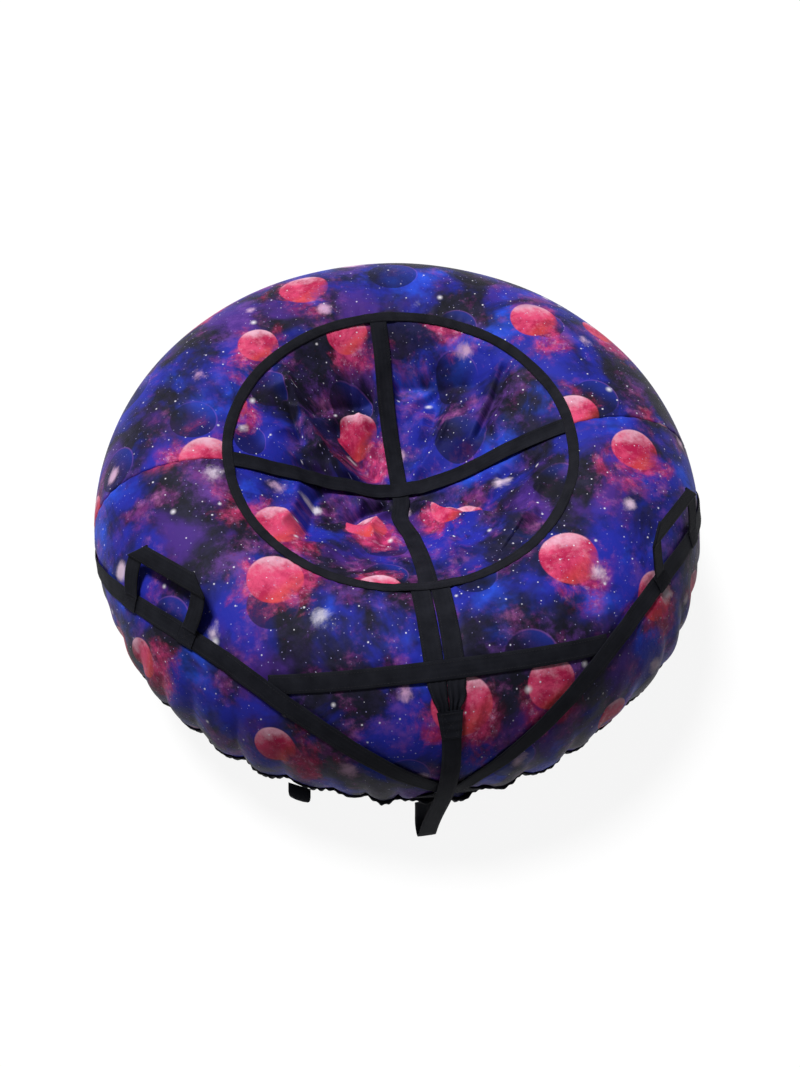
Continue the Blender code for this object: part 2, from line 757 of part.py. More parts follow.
def build_hem_tab(material):
    """The small folded tab that hangs from the hem at the front left."""
    reach_shares = (0.0, 0.42, 0.78, 1.0, 0.96)
    drop_shares = (0.0, 0.14, 0.40, 0.75, 1.0)
    width_shares = (1.0, 1.0, 1.0, 0.9, 0.5)
    lift = LAYER_CLEARANCE + SCALLOP_DEPTH + HEM_BAND_THICKNESS + SEAM_CLEARANCE
    start_radius, start_height = skin_profile(HEM_SECTION, lift)
    profile = []
    for reach, drop in zip(reach_shares, drop_shares):
        profile.append((start_radius + TAB_REACH * reach, start_height - TAB_DROP * drop))
    profile = np.array(profile)
    slopes = np.gradient(profile, axis=0)
    normals = np.stack([-slopes[:, 1], slopes[:, 0]], axis=1)
    normals /= np.linalg.norm(normals, axis=1)[:, None]
    outer = []
    inner = []
    turn = math.radians(TAB_ROUND)
    side = np.array((math.cos(turn), math.sin(turn), 0.0))
    for (radius, height), normal, share in zip(profile, normals, width_shares):
        offset = normal * TAB_THICKNESS / 2
        high = place_round(radius + offset[0], height + offset[1], TAB_ROUND)
        low = place_round(radius - offset[0], height - offset[1], TAB_ROUND)
        reach = side * TAB_WIDTH * share / 2
        outer.append([high - reach, high, high + reach])
        inner.append([low - reach, low, low + reach])
    return sheet_solid("hem_tab", np.array(outer), np.array(inner), material)


def build_zip(materials):
    """The closure in the recess of the underside, for the inner tube to go in."""
    tape, metal = materials
    panel_top = RECESS_DEPTH + BOTTOM_THICKNESS
    tape_middle = panel_top + SEAM_CLEARANCE + ZIP_TAPE_THICKNESS / 2
    row_inner = ZIP_ROW_GAP / 2
    row_outer = row_inner + ZIP_ROW_WIDTH
    row_low = tape_middle - ZIP_TAPE_THICKNESS / 2 - SEAM_CLEARANCE - ZIP_ROW_HEIGHT / 2
    length = ZIP_LENGTH - 2 * ZIP_STOP_LENGTH
    for name, side in (("front", -1), ("rear", 1)):
        tape_y = side * (row_inner + SLIDER_CLEARANCE + ZIP_TAPE_WIDTH / 2)
        size = (ZIP_LENGTH + 2 * ZIP_STOP_LENGTH, ZIP_TAPE_WIDTH, ZIP_TAPE_THICKNESS)
        block_solid("zip_tape_" + name, size, (0, tape_y, tape_middle), tape)
        row_y = side * (row_inner + row_outer) / 2
        size = (length, ZIP_ROW_WIDTH, ZIP_ROW_HEIGHT)
        block_solid("zip_teeth_" + name, size, (0, row_y, row_low), metal)
    for name, side in (("left", -1), ("right", 1)):
        stop_x = side * (length / 2 + SEAM_CLEARANCE + ZIP_STOP_LENGTH / 2)
        size = (ZIP_STOP_LENGTH - 2 * SEAM_CLEARANCE, 2 * row_outer, ZIP_ROW_HEIGHT)
        block_solid("zip_stop_" + name, size, (stop_x, 0, row_low), metal)
    build_slider(metal, row_low)


def slider_rest_x():
    return ZIP_LENGTH / 2 - ZIP_STOP_LENGTH - SLIDER_LENGTH / 2 - SLIDER_CLEARANCE


def build_slider(metal, row_middle):
    """A slider plate under the teeth with a web between the rows, and its pull."""
    x = slider_rest_x()
    plate_top = row_middle - ZIP_ROW_HEIGHT / 2 - SLIDER_CLEARANCE
    plate_middle = plate_top - SLIDER_PLATE / 2
    web_height = ZIP_ROW_HEIGHT + SLIDER_CLEARANCE
    size = (SLIDER_LENGTH, SLIDER_WIDTH, SLIDER_PLATE)
    slider = block_solid("zip_slider", size, (x, 0, plate_middle), metal)
    size = (SLIDER_LENGTH, SLIDER_WEB, web_height + SLIDER_PLATE)
    web_middle = plate_top + web_height / 2 - SLIDER_PLATE / 2
    web = block_solid("zip_slider_web", size, (x, 0, web_middle), metal)
    lug_drop = 2 * PULL_EYE_RADIUS + SLIDER_PLATE
    size = (2 * PULL_EYE_RADIUS + SLIDER_PLATE, LUG_WIDTH, lug_drop + SLIDER_PLATE)
    lug_middle = plate_middle - lug_drop / 2
    lug = block_solid("zip_slider_lug", size, (x, 0, lug_middle), metal)
    for extra in (web, lug):
        join = slider.modifiers.new("Join", "BOOLEAN")
        join.operation = "UNION"
        join.solver = "EXACT"
        join.object = extra
        extra.hide_render = True
        extra.display_type = "WIRE"
    pin_z = plate_middle - SLIDER_PLATE / 2 - PULL_EYE_RADIUS
    outline_half = SLIDER_WIDTH / 2
    outline = (
        (0, -outline_half), (PULL_EYE_RADIUS, -outline_half),
        (PULL_EYE_RADIUS, outline_half), (0, outline_half),
    )
    eye = turned_solid("zip_slider_eye", outline, 16, metal, closed=False)
    eye.matrix_world = Matrix.Translation((x, 0, pin_z)) @ Matrix.Rotation(math.pi / 2, 4, "X")
    cut_away(slider, eye)
    build_pull(metal, Vector((x, 0, pin_z)))


def build_pull(metal, place):
    """The pull: a pin through the lug, two cheeks and a flat tab."""
    pin_reach = PULL_WIDTH / 2 - PULL_THICKNESS / 2
    outline = (
        (0, -pin_reach), (PULL_PIN_RADIUS, -pin_reach),
        (PULL_PIN_RADIUS, pin_reach), (0, pin_reach),
    )
    pull = turned_solid("zip_pull", outline, 12, metal, closed=False)
    pull.matrix_world = Matrix.Translation(place) @ Matrix.Rotation(math.pi / 2, 4, "X")
    cheek_length = 4 * PULL_EYE_RADIUS
    extras = []
    for side in (-1, 1):
        size = (cheek_length, PULL_THICKNESS, 2 * PULL_PIN_RADIUS)
        centre = place + Vector((-cheek_length / 2 + PULL_PIN_RADIUS, side * pin_reach, 0))
        extras.append(block_solid("zip_pull_cheek", size, centre, metal))
    tab_length = PULL_LENGTH - cheek_length
    size = (tab_length, PULL_WIDTH, 2 * PULL_PIN_RADIUS)
    centre = place + Vector((-cheek_length - tab_length / 2 + 2 * PULL_PIN_RADIUS, 0, 0))
    extras.append(block_solid("zip_pull_tab", size, centre, metal))
    for extra in extras:
        join = pull.modifiers.new("Join", "BOOLEAN")
        join.operation = "UNION"
        join.solver = "EXACT"
        join.object = extra
        extra.hide_render = True
        extra.display_type = "WIRE"


def valve_frame():
    """Local Z points from the rubber wall to the middle axis of the tube."""
    wall = skin_point(VALVE_ROUND, 180.0, -COVER_THICKNESS - TUBE_CLEARANCE)
    inward = Vector((-wall[0], -wall[1], 0)).normalized()
    turn = inward.to_track_quat("Z", "Y").to_matrix().to_4x4()
    return Matrix.Translation(Vector(wall)) @ turn


def build_valve(rubber, brass, plastic):
    frame = valve_frame()
    bore = VALVE_STEM_RADIUS + VALVE_HOLE_CLEARANCE
    foot = VALVE_BASE_GAP
    flange = foot + VALVE_BASE_THICKNESS
    neck = foot + VALVE_NECK_LENGTH
    outline = (
        (bore, foot), (VALVE_BASE_RADIUS, foot), (VALVE_BASE_RADIUS, flange),
        (VALVE_NECK_RADIUS, flange), (VALVE_NECK_RADIUS, neck), (bore, neck),
    )
    base = turned_solid("valve_base", outline, 20, rubber, closed=True)
    tip = VALVE_STEM_LENGTH - VALVE_STEM_INSIDE
    seat = tip - VALVE_PIN_RECESS - VALVE_PIN_LENGTH
    pin_bore = VALVE_PIN_RADIUS + VALVE_CORE_CLEARANCE
    core_top = seat + VALVE_CORE_LENGTH
    outline = (
        (pin_bore, seat), (VALVE_BORE_RADIUS, seat), (VALVE_BORE_RADIUS, -VALVE_STEM_INSIDE),
        (VALVE_STEM_RADIUS, -VALVE_STEM_INSIDE), (VALVE_STEM_RADIUS, tip),
        (VALVE_BORE_RADIUS, tip), (VALVE_BORE_RADIUS, core_top), (pin_bore, core_top),
    )
    stem = turned_solid("valve_stem", outline, 20, brass, closed=True)
    pin_top = tip - VALVE_PIN_RECESS
    head = pin_top - VALVE_PIN_HEAD_LENGTH
    outline = (
        (0, pin_top - VALVE_PIN_LENGTH), (VALVE_PIN_RADIUS, pin_top - VALVE_PIN_LENGTH),
        (VALVE_PIN_RADIUS, head), (VALVE_PIN_HEAD_RADIUS, head),
        (VALVE_PIN_HEAD_RADIUS, pin_top), (0, pin_top),
    )
    pin = turned_solid("valve_pin", outline, 12, brass, closed=False)
    cap_bore = VALVE_STEM_RADIUS + VALVE_CAP_CLEARANCE
    cap_inner = tip + VALVE_CAP_CLEARANCE
    cap_top = cap_inner + VALVE_CAP_TOP
    cap_low = cap_top - VALVE_CAP_LENGTH
    outline = (
        (0, cap_inner), (cap_bore, cap_inner), (cap_bore, cap_low),
        (VALVE_CAP_RADIUS, cap_low), (VALVE_CAP_RADIUS, cap_top), (0, cap_top),
    )
    cap = turned_solid("valve_cap", outline, 20, plastic, closed=False)
    for piece in (base, stem, pin, cap):
        piece.matrix_world = frame


def main():
    clear_scene()
    print_cloth = make_material("printed_oxford_cloth", (0.09, 0.07, 0.24), 0.62)
    seat_cloth = make_material("printed_seat_cloth", (0.08, 0.07, 0.26), 0.62)
    webbing = make_material("black_webbing", (0.012, 0.014, 0.015), 0.8)
    vinyl = make_material("black_coated_cloth", (0.014, 0.014, 0.016), 0.45)
    rubber = make_material("butyl_rubber", (0.02, 0.02, 0.02), 0.6)
    brass = make_material("brass", (0.62, 0.45, 0.18), 0.3, 1.0)
    plastic = make_material("black_plastic", (0.02, 0.02, 0.02), 0.4)
    tape = make_material("zip_tape", (0.015, 0.015, 0.018), 0.85)
    zinc = make_material("zinc_alloy", (0.42, 0.42, 0.44), 0.35, 1.0)

    build_inner_tube(rubber, plastic)
    build_valve(rubber, brass, plastic)
    build_cover_half("front_cover_panel", 0.0, print_cloth)
    build_cover_half("rear_cover_panel", 180.0, print_cloth)
    build_seat_panel(seat_cloth)
    build_seat_binding(webbing)
    build_seat_strap("seat_strap_fore_aft", False, 0.0, webbing)
    build_seat_strap("seat_strap_cross", True, strap_top, webbing)
    for name, side in (("left", -1), ("right", 1)):
        build_harness_strap("tow_harness_strap_" + name, side, webbing)
    build_tow_patch(webbing)
    build_cross_strap(webbing)
    build_girth_strap("girth_strap_left", -1, GIRTH_CLIMB_ROUNDS[1:], webbing)
    build_girth_strap("girth_strap_right", 1, GIRTH_CLIMB_ROUNDS, webbing)
    for name, side in (("left", -1), ("right", 1)):
        build_handle_foot(name + "_handle_front_foot", side, HANDLE_FRONT_FOOT, webbing)
        build_handle_foot(name + "_handle_rear_foot", side, HANDLE_REAR_FOOT, webbing)
        build_handle(name + "_handle", side, webbing)
    build_tow_loop(webbing)
    build_bottom_panel(vinyl, plastic)
    build_hem_band(vinyl)
    build_hem_tab(webbing)
    build_zip((tape, zinc))


main()
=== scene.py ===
"""The looks of a covered snow tube: printed cloth over a blown-up tube, with black webbing."""

from functools import partial

import bpy
import numpy as np
from mathutils import Matrix, Vector


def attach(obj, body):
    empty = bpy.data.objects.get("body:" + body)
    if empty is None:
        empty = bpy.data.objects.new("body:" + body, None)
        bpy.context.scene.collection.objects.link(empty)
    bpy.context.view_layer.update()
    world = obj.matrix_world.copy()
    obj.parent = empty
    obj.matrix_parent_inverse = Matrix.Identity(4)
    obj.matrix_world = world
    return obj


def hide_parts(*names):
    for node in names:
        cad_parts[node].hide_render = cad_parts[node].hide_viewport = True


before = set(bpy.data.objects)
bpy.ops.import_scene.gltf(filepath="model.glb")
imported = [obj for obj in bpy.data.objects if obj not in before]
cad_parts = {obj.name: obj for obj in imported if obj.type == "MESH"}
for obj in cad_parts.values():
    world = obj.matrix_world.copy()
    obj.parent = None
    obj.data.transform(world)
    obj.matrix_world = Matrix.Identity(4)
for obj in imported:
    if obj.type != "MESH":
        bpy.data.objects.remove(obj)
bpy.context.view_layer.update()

# The blown-up shape, in metres and degrees. Angles round the ring grow from the front to the
# right, and angles on its section from the outer side upwards.
HALF_WIDTH = 0.173  # of the tube's section
HALF_HEIGHT = 0.180
MIDDLE = 0.327  # radius of the section's middle
RING = 0.271  # radius of the seat ring
LEAVE = 0.255  # radius where the seat leaves the tube
DIP = 0.216  # height of the seat's middle
HEM = -26.0  # section angle of the hem
CLOTH = 0.0012  # thickness of the cloth
WEB = 0.028  # width of the webbing
THIN = 0.0016  # its thickness
STEP_UP = 0.0022  # how far a strap climbs over another
FIRST = 0.0006  # height of what lies on the cover
SECOND = 0.0028  # height of what lies on a strap
FOLD_DEPTH = 2.3  # multiplies the heights of the seat's folds
CREASE_DEPTH = 1.9  # and of its creases
SELVEDGE_ROWS = (0.39, -0.39)  # rows of stitches, as shares of a strap's width

# Folds of the seat cloth: height, reach to the left and to the right of the line,
# and the line itself, all in millimetres
FOLDS = (
    (11, 13, 42, ((14, -24), (42, -58), (71, -99), (95, -116), (116, -131), (140, -147),
                  (165, -161), (183, -184))),
    (-6, 16, 12, ((20, -12), (60, -42), (98, -78), (132, -104), (168, -120))),
    (5, 16, 10, ((183, -184), (181, -132), (209, -89))),
    (-7, 12, 22, ((-174, -166), (-156, -98), (-143, -38), (-131, -20), (-120, 20))),
    (7, 24, 14, ((-209, -129), (-178, -92), (-168, -40), (-160, 10))),
    (-5, 14, 18, ((-190, -160), (-136, -190), (-92, -176), (-60, -150))),
    (-9, 9, 15, ((-98, -78), (-75, -57), (-44, -36), (-19, -20))),
    (7, 14, 9, ((-12, -34), (-44, -62), (-62, -96), (-56, -132))),
    (9, 12, 26, ((-175, 198), (-158, 160), (-148, 117), (-118, 64), (-84, 24), (-40, 8))),
    (-6, 8, 14, ((-170, 155), (-164, 118), (-158, 87), (-150, 50))),
    (-10, 18, 40, ((-148, 117), (-111, 137), (-62, 151), (-12, 162), (26, 171), (101, 167),
                   (164, 163), (196, 172))),
    (6, 26, 12, ((202, 174), (185, 141), (162, 104), (143, 79), (125, 52), (96, 30))),
    (-7, 9, 9, ((205, 160), (192, 132), (170, 96), (150, 70), (128, 40))),
    (-5, 22, 16, ((69, 92), (84, 134), (75, 158))),
    (6, 12, 24, ((24, 18), (58, 52), (88, 84), (100, 120))),
    (-6, 12, 18, ((-24, 22), (-58, 60), (-86, 104), (-92, 130))),
    (5, 20, 10, ((40, -150), (58, -190), (52, -226))),
    (-5, 12, 20, ((150, -40), (186, -34), (214, -52))),
    (4, 14, 14, ((-120, 20), (-170, 30), (-214, 62))),
)

# The tow loop's route, from the patch to the hem
TOW = (
    (0.0000, -0.4754, 0.2796), (-0.0005, -0.4860, 0.2608), (-0.0015, -0.4950, 0.2390),
    (-0.0035, -0.5030, 0.2130), (-0.0070, -0.5085, 0.1800), (-0.0120, -0.5108, 0.1450),
    (-0.0180, -0.5116, 0.1100), (-0.0235, -0.5122, 0.0750), (-0.0270, -0.5126, 0.0430),
    (-0.0285, -0.5122, 0.0200), (-0.0290, -0.5080, 0.0070), (-0.0293, -0.4995, 0.0022),
    (-0.0296, -0.4912, 0.0072), (-0.0300, -0.4874, 0.0200), (-0.0306, -0.4862, 0.0430),
    (-0.0312, -0.4850, 0.0640), (-0.0318, -0.4836, 0.0820),
)


def add_object(name, data):
    """An object of that name in the scene."""
    made = bpy.data.objects.new(name, data)
    bpy.context.scene.collection.objects.link(made)
    return made


def add_camera():
    """The photograph's camera: 2.05 m from a point 0.15 m up, 54.6 degrees above it."""
    rise, turn, roll = np.radians((54.6, -10.7, -2.5))
    back = Vector((np.sin(turn) * np.cos(rise), -np.cos(turn) * np.cos(rise), np.sin(rise)))
    right = Vector((np.cos(turn), np.sin(turn), 0.0))
    above = back.cross(right)
    wide = right * np.cos(roll) - above * np.sin(roll)
    high = right * np.sin(roll) + above * np.cos(roll)
    data = bpy.data.cameras.new("photo_camera")
    data.lens = 40.62
    data.shift_x = 0.0021
    data.shift_y = -0.0167
    camera = add_object("photo_camera", data)
    place = Matrix((wide, high, back)).transposed().to_4x4()
    place.translation = Vector((0.0, 0.0, 0.15)) + back * 2.05
    camera.matrix_world = place
    bpy.context.scene.camera = camera


def ease(value):
    """0 below 0, 1 above 1, and 3 t squared less 2 t cubed between."""
    value = np.clip(value, 0.0, 1.0)
    return value * value * (3.0 - 2.0 * value)


def near(value, middle, inside, outside):
    """1 within inside of middle, 0 beyond outside, eased between."""
    return 1.0 - ease((np.abs(value - middle) - inside) / (outside - inside))


def turn_from(around, middle):
    """Signed angle from middle, between -180 and 180."""
    return (around - middle + 180.0) % 360.0 - 180.0


def unit(vectors):
    """The vectors at a length of 1."""
    return vectors / np.linalg.norm(vectors, axis=-1, keepdims=True)


def lengths_along(line):
    """Distance from the first point along a line of points."""
    return np.r_[0.0, np.cumsum(np.linalg.norm(np.diff(line, axis=0), axis=1))]


def skin(around, section, lift=0.0):
    """The ring's skin: an ellipse carried round the Z axis, lifted along its normal."""
    around = np.radians(around)
    section = np.radians(section)
    out = np.cos(section) / HALF_WIDTH
    rise = np.sin(section) / HALF_HEIGHT
    size = np.hypot(out, rise)
    radius = MIDDLE + HALF_WIDTH * np.cos(section) + lift * out / size
    height = HALF_HEIGHT * (1.0 + np.sin(section)) + lift * rise / size
    spread = np.broadcast_arrays(radius * np.sin(around), -radius * np.cos(around), height)
    return np.stack(spread, axis=-1)


def angles_of(points):
    """Angle round the ring and angle on its section, in degrees, of points near the skin."""
    radius = np.hypot(points[..., 0], points[..., 1])
    around = np.degrees(np.arctan2(points[..., 0], -points[..., 1]))
    height = (points[..., 2] - HALF_HEIGHT) / HALF_HEIGHT
    return around, np.degrees(np.arctan2(height, (radius - MIDDLE) / HALF_WIDTH))


def section_of(radius):
    """Section angle where the inner top side of the skin has this radius."""
    return np.degrees(np.arccos((radius - MIDDLE) / HALF_WIDTH))


def bowl(radius):
    """Height of the seat: the skin out of LEAVE, and a cubic from there to the middle."""
    on_tube = np.arccos((np.clip(radius, LEAVE, RING + 0.02) - MIDDLE) / HALF_WIDTH)
    edge = np.arccos((LEAVE - MIDDLE) / HALF_WIDTH)
    edge_height = HALF_HEIGHT * (1.0 + np.sin(edge))
    slope = -HALF_HEIGHT * np.cos(edge) / (HALF_WIDTH * np.sin(edge))
    share = np.clip(radius / LEAVE, 0.0, 1.0)
    start = 2.0 * share**3 - 3.0 * share**2 + 1.0
    inside = DIP * start + edge_height * (1.0 - start) + slope * LEAVE * (share**3 - share**2)
    return np.where(radius >= LEAVE, HALF_HEIGHT * (1.0 + np.sin(on_tube)), inside)


def fold_heights(x, y):
    """Sum of the seat's folds: height times e to the minus distance over reach, rounded
    at the line by 1.5 mm, and eased out at both ends of the line."""
    total = np.zeros_like(x)
    for height, left, right, line in FOLDS:
        line = np.array(line) / 1000.0
        starts = lengths_along(line)
        best = np.full(x.shape, 9.0)
        side = np.ones_like(x)
        place = np.zeros_like(x)
        for first, second, span, start in zip(line[:-1], line[1:], np.diff(starts), starts):
            way = (second - first) / span
            along = (x - first[0]) * way[0] + (y - first[1]) * way[1]
            along = np.clip(along, 0.0, span)
            dx = x - first[0] - along * way[0]
            dy = y - first[1] - along * way[1]
            distance = np.hypot(dx, dy)
            closer = distance < best
            best = np.where(closer, distance, best)
            side = np.where(closer, way[0] * dy - way[1] * dx, side)
            place = np.where(closer, start + along, place)
        share = place / starts[-1]
        ends = ease(share / 0.18) * ease((1.0 - share) / 0.18)
        reach = np.where(side > 0.0, left, right) / 1000.0
        away = np.hypot(best, 0.0015) - 0.0015
        total += FOLD_DEPTH * height / 1000.0 * ends * np.exp(-away / reach)
    return total


def creases(x, y):
    """Sum of 64 short creases that point roughly to the middle, with places, slants, heights
    and reaches drawn from a fixed seed: height times e to the minus distance over reach, eased
    out at both ends."""
    chance = np.random.default_rng(11)
    total = np.zeros_like(x)
    for _ in range(64):
        turn = chance.uniform(-np.pi, np.pi)
        middle = chance.uniform(0.05, 0.23)
        slant = turn + chance.normal(0.0, 0.55)
        half = chance.uniform(0.022, 0.065)
        height = chance.uniform(0.0012, 0.0042) * chance.choice((-1.0, 1.0))
        reach = chance.uniform(0.005, 0.013)
        across = x - middle * np.cos(turn)
        ahead = y - middle * np.sin(turn)
        along = across * np.cos(slant) + ahead * np.sin(slant)
        side = ahead * np.cos(slant) - across * np.sin(slant)
        ends = ease((half - np.abs(along)) / (0.7 * half))
        reach = np.where(side > 0.0, reach, 2.2 * reach)
        total += height * ends * np.exp(-(np.hypot(side, 0.0012) - 0.0012) / reach)
    return total


def seat_relief(x, y):
    """How far the seat cloth stands off its bowl: folds, creases, rumples and rays, all sums
    and products of sines, that fade at the ring and under the two straps. Where the cloth
    meets the tube it lies on it."""
    clearance = 0.0030  # of the cloth from the tube's skin, which the rubber lies below
    hole = 0.160  # within this radius no tube lies under the seat
    radius = np.hypot(x, y)
    section = np.arccos(np.clip((radius - MIDDLE) / HALF_WIDTH, -1.0, 1.0))
    tube = HALF_HEIGHT * (1.0 + np.sin(section)) - clearance - bowl(radius)
    tube = np.where(radius > hole, tube, -1.0)
    fade = ease((0.264 - radius) / 0.034)
    strap = np.minimum(np.abs(x), np.abs(y))
    free = 1.0 - 0.82 * np.exp(-((strap / 0.020) ** 4))
    turn = np.arctan2(y, x)
    rumple = np.sin(61.0 * x + 23.0 * y + 2.0 * np.sin(31.0 * y))
    rumple *= np.sin(47.0 * y - 19.0 * x + 1.7 * np.sin(37.0 * x))
    rays = np.sin(9.0 * turn + 3.0 * np.sin(16.0 * radius)) * ease(radius / 0.05)
    loose = fold_heights(x, y) + CREASE_DEPTH * creases(x, y) + 0.0013 * rumple + 0.0016 * rays
    return np.maximum(fade * free * loose, np.minimum(tube, 0.0))


def pleats(around):
    """Gathers round the hem: 48 broad puffs with narrow creases between, that wander by two
    degrees and are deeper in some places than in others."""
    turn = np.radians(around)
    wander = 1.3 * np.sin(5.0 * turn + 0.7) + 0.9 * np.sin(9.0 * turn + 2.1)
    wander += 0.5 * np.sin(17.0 * turn + 4.0)
    puff = np.abs(np.sin(24.0 * np.radians(around + wander))) ** 0.8
    return puff * (0.74 + 0.20 * np.sin(7.0 * turn + 1.1) + 0.16 * np.sin(13.0 * turn + 3.0))


def girth(around):
    """Section angle of a girth strap's middle line, at an angle towards its own side."""
    return 47.0 - 0.028 * (around - 44.0) ** 2


def crossing(around):
    """Section angle of the front cross strap's middle line."""
    return 64.5 - 0.0165 * around**2


def strap_press(around, section):
    """1 under the straps of the cover and 0 clear of them, from the distance to each in
    millimetres: the gap on the section over the square root of 1 and the slope squared."""
    per_section = 3.08  # millimetres to a degree of the section
    radius = MIDDLE + HALF_WIDTH * np.cos(np.radians(section))
    per_around = radius * 17.45  # and to a degree round the ring

    def under(line, slope, there):
        """1 within 11 mm of a line, 0 beyond 22 mm, by how far the strap is there."""
        slope = slope * per_section / per_around
        gap = np.abs(section - line) * per_section / np.hypot(1.0, slope)
        return there * (1.0 - ease((gap - 11.0) / 11.0))

    pressed = under(crossing(around), -0.033 * around, near(around, 0.0, 32.0, 36.0))
    for own in (-around, around):
        there = ease((own + 12.0) / 6.0) * ease((96.0 - own) / 6.0)
        pressed = np.maximum(pressed, under(girth(own), -0.056 * (own - 44.0), there))
    across = radius * np.abs(np.sin(np.radians(around))) * 1000.0
    half = np.interp(section, (34.0, 46.0, 62.0), (13.5, 14.0, 28.5))
    there = near(around, 0.0, 20.0, 24.0) * ease((section - 32.0) / 3.0)
    return np.maximum(pressed, there * (1.0 - ease((across - half + 3.0) / 11.0)))


def cover_lift(around, section):
    """How far the cover stands off the tube's skin, as sums of sines: low waves, gathers that
    grow down to the hem, puckers close to it, a groove at both side seams, and less under the
    straps."""
    turn = np.radians(around)
    part = np.radians(section)
    own = np.abs(around)
    start = np.maximum(girth(own) - 5.0, -10.0 + 26.0 * ease((own - 52.0) / 36.0))
    fall = ease((start - section) / (start - HEM))
    gathers = fall**1.1 * (0.0150 * pleats(around) - 0.0048)
    drag = 0.0007 * np.sin(61.0 * turn + 3.0 * np.sin(6.0 * part + 3.0 * turn))
    drag *= ease(fall * 2.5) * (1.0 - 0.5 * fall)
    close = ease((section - HEM) / -12.0 + 1.0)
    pucker = 0.0006 * close * np.sin(211.0 * turn + 2.0 * np.sin(13.0 * turn))
    waves = 0.0007 * np.sin(3.0 * turn + 2.0 * part) * np.sin(5.0 * part - turn + 1.0)
    waves += 0.0004 * np.sin(11.0 * turn + 4.0 * part) * np.sin(3.0 * part + 2.0)
    seam = np.minimum(np.abs(turn_from(around, 90.0)), np.abs(turn_from(around, -90.0)))
    gap = np.radians(seam) * (MIDDLE + HALF_WIDTH * np.cos(part))
    groove = -0.0016 * np.exp(-((gap / 0.0022) ** 2))
    groove += 0.0006 * np.exp(-((gap / 0.012) ** 2)) * np.sin(46.0 * part)
    ring = 0.0004 * ease((section - 97.0) / 9.0) * np.sin(97.0 * turn + 2.0 * np.sin(7.0 * turn))
    press = strap_press(around, section)
    loose = gathers + drag + pucker + waves + groove + ring + 0.0003
    return loose * (1.0 - press) + press * (0.25 * gathers - 0.0012)


def grid_faces(rows, columns, round_rows=False, round_columns=False):
    """Quads of a grid of points, joined from the last row or column to the first if round."""
    row = np.arange(rows if round_rows else rows - 1)
    column = np.arange(columns if round_columns else columns - 1)
    row, column = np.meshgrid(row, column, indexing="ij")
    below = (row + 1) % rows
    beside = (column + 1) % columns
    corners = (
        row * columns + column, below * columns + column,
        below * columns + beside, row * columns + beside,
    )
    return np.stack(corners, axis=-1).reshape(-1, 4)


def signed_volume(points, faces):
    """Six times the volume inside closed faces: the sum of triple products of fans."""
    total = 0.0
    for group in faces:
        corner = points[group]
        crossed = np.cross(corner[:, 1:-1], corner[:, 2:])
        total += np.sum(corner[:, :1] * crossed)
    return total


def add_piece(name, points, faces, material, body="cover", cut=None):
    """A closed mesh from points and groups of faces, turned outwards by its volume. cut is
    each face corner's place on the flat material, in metres, and becomes the UV map."""
    points = np.asarray(points, dtype=np.float64).reshape(-1, 3)
    if signed_volume(points, faces) < 0.0:
        faces = [group[:, ::-1] for group in faces]
        cut = None if cut is None else [group[:, ::-1] for group in cut]
    corners = np.concatenate([group.ravel() for group in faces]).astype(np.int32)
    sizes = np.concatenate([np.full(len(group), group.shape[1]) for group in faces])
    mesh = bpy.data.meshes.new(name)
    mesh.vertices.add(len(points))
    mesh.vertices.foreach_set("co", points.astype(np.float32).ravel())
    mesh.loops.add(len(corners))
    mesh.loops.foreach_set("vertex_index", corners)
    mesh.polygons.add(len(sizes))
    mesh.polygons.foreach_set("loop_start", (np.cumsum(sizes) - sizes).astype(np.int32))
    mesh.update(calc_edges=True)
    mesh.polygons.foreach_set("use_smooth", np.ones(len(sizes), dtype=bool))
    if cut is not None:
        places = np.concatenate([group.reshape(-1, 2) for group in cut])
        layer = mesh.uv_layers.new(name="cut")
        layer.data.foreach_set("uv", places.astype(np.float32).ravel())
    mesh.validate()
    piece = add_object(name, mesh)
    mesh.materials.append(material)
    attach(piece, body)
    return piece


def add_cloth(name, outer, inner, material, cut, round_rows=False):
    """A cloth wall: an outer and an inner grid of points joined by a rim. cut is each outer
    point's place on the flat cloth."""
    rows, columns = outer.shape[:2]
    size = rows * columns
    flat = cut.reshape(-1, 2)
    front = grid_faces(rows, columns, round_rows)
    index = np.arange(size).reshape(rows, columns)
    faces = [front, front[:, ::-1] + size]
    cuts = [flat[front], flat[front][:, ::-1]]
    if round_rows:
        edge = np.r_[index[:, 0], index[0, 0]]
        edges = [edge, edge[::-1] + columns - 1]
    else:
        edges = [np.r_[index[:, 0], index[-1, 1:], index[-2::-1, -1], index[0, -2::-1]]]
    for edge in edges:
        here, there = edge[:-1], edge[1:]
        faces.append(np.stack([there, here, here + size, there + size], axis=-1))
        cuts.append(flat[np.stack([there, here, here, there], axis=1)])
    points = np.concatenate([outer.reshape(-1, 3), inner.reshape(-1, 3)])
    return add_piece(name, points, faces, material, cut=cuts)


def add_band(name, rings, material, cut, body="cover", round_rows=False):
    """A solid band: each row of rings goes round the band's own section. cut is its place on
    the flat band, with a column more, and a row more where the band goes round the tube."""
    rows, columns = rings.shape[:2]
    faces = [grid_faces(rows, columns, round_rows, True)]
    cuts = [cut.reshape(-1, 2)[grid_faces(*cut.shape[:2])]]
    if not round_rows:
        cap = np.arange(columns)
        faces.append(np.stack([cap[::-1], (rows - 1) * columns + cap]))
        cuts.append(np.stack([cut[0, :columns][::-1], cut[-1, :columns]]))
    return add_piece(name, rings, faces, material, body, cuts)


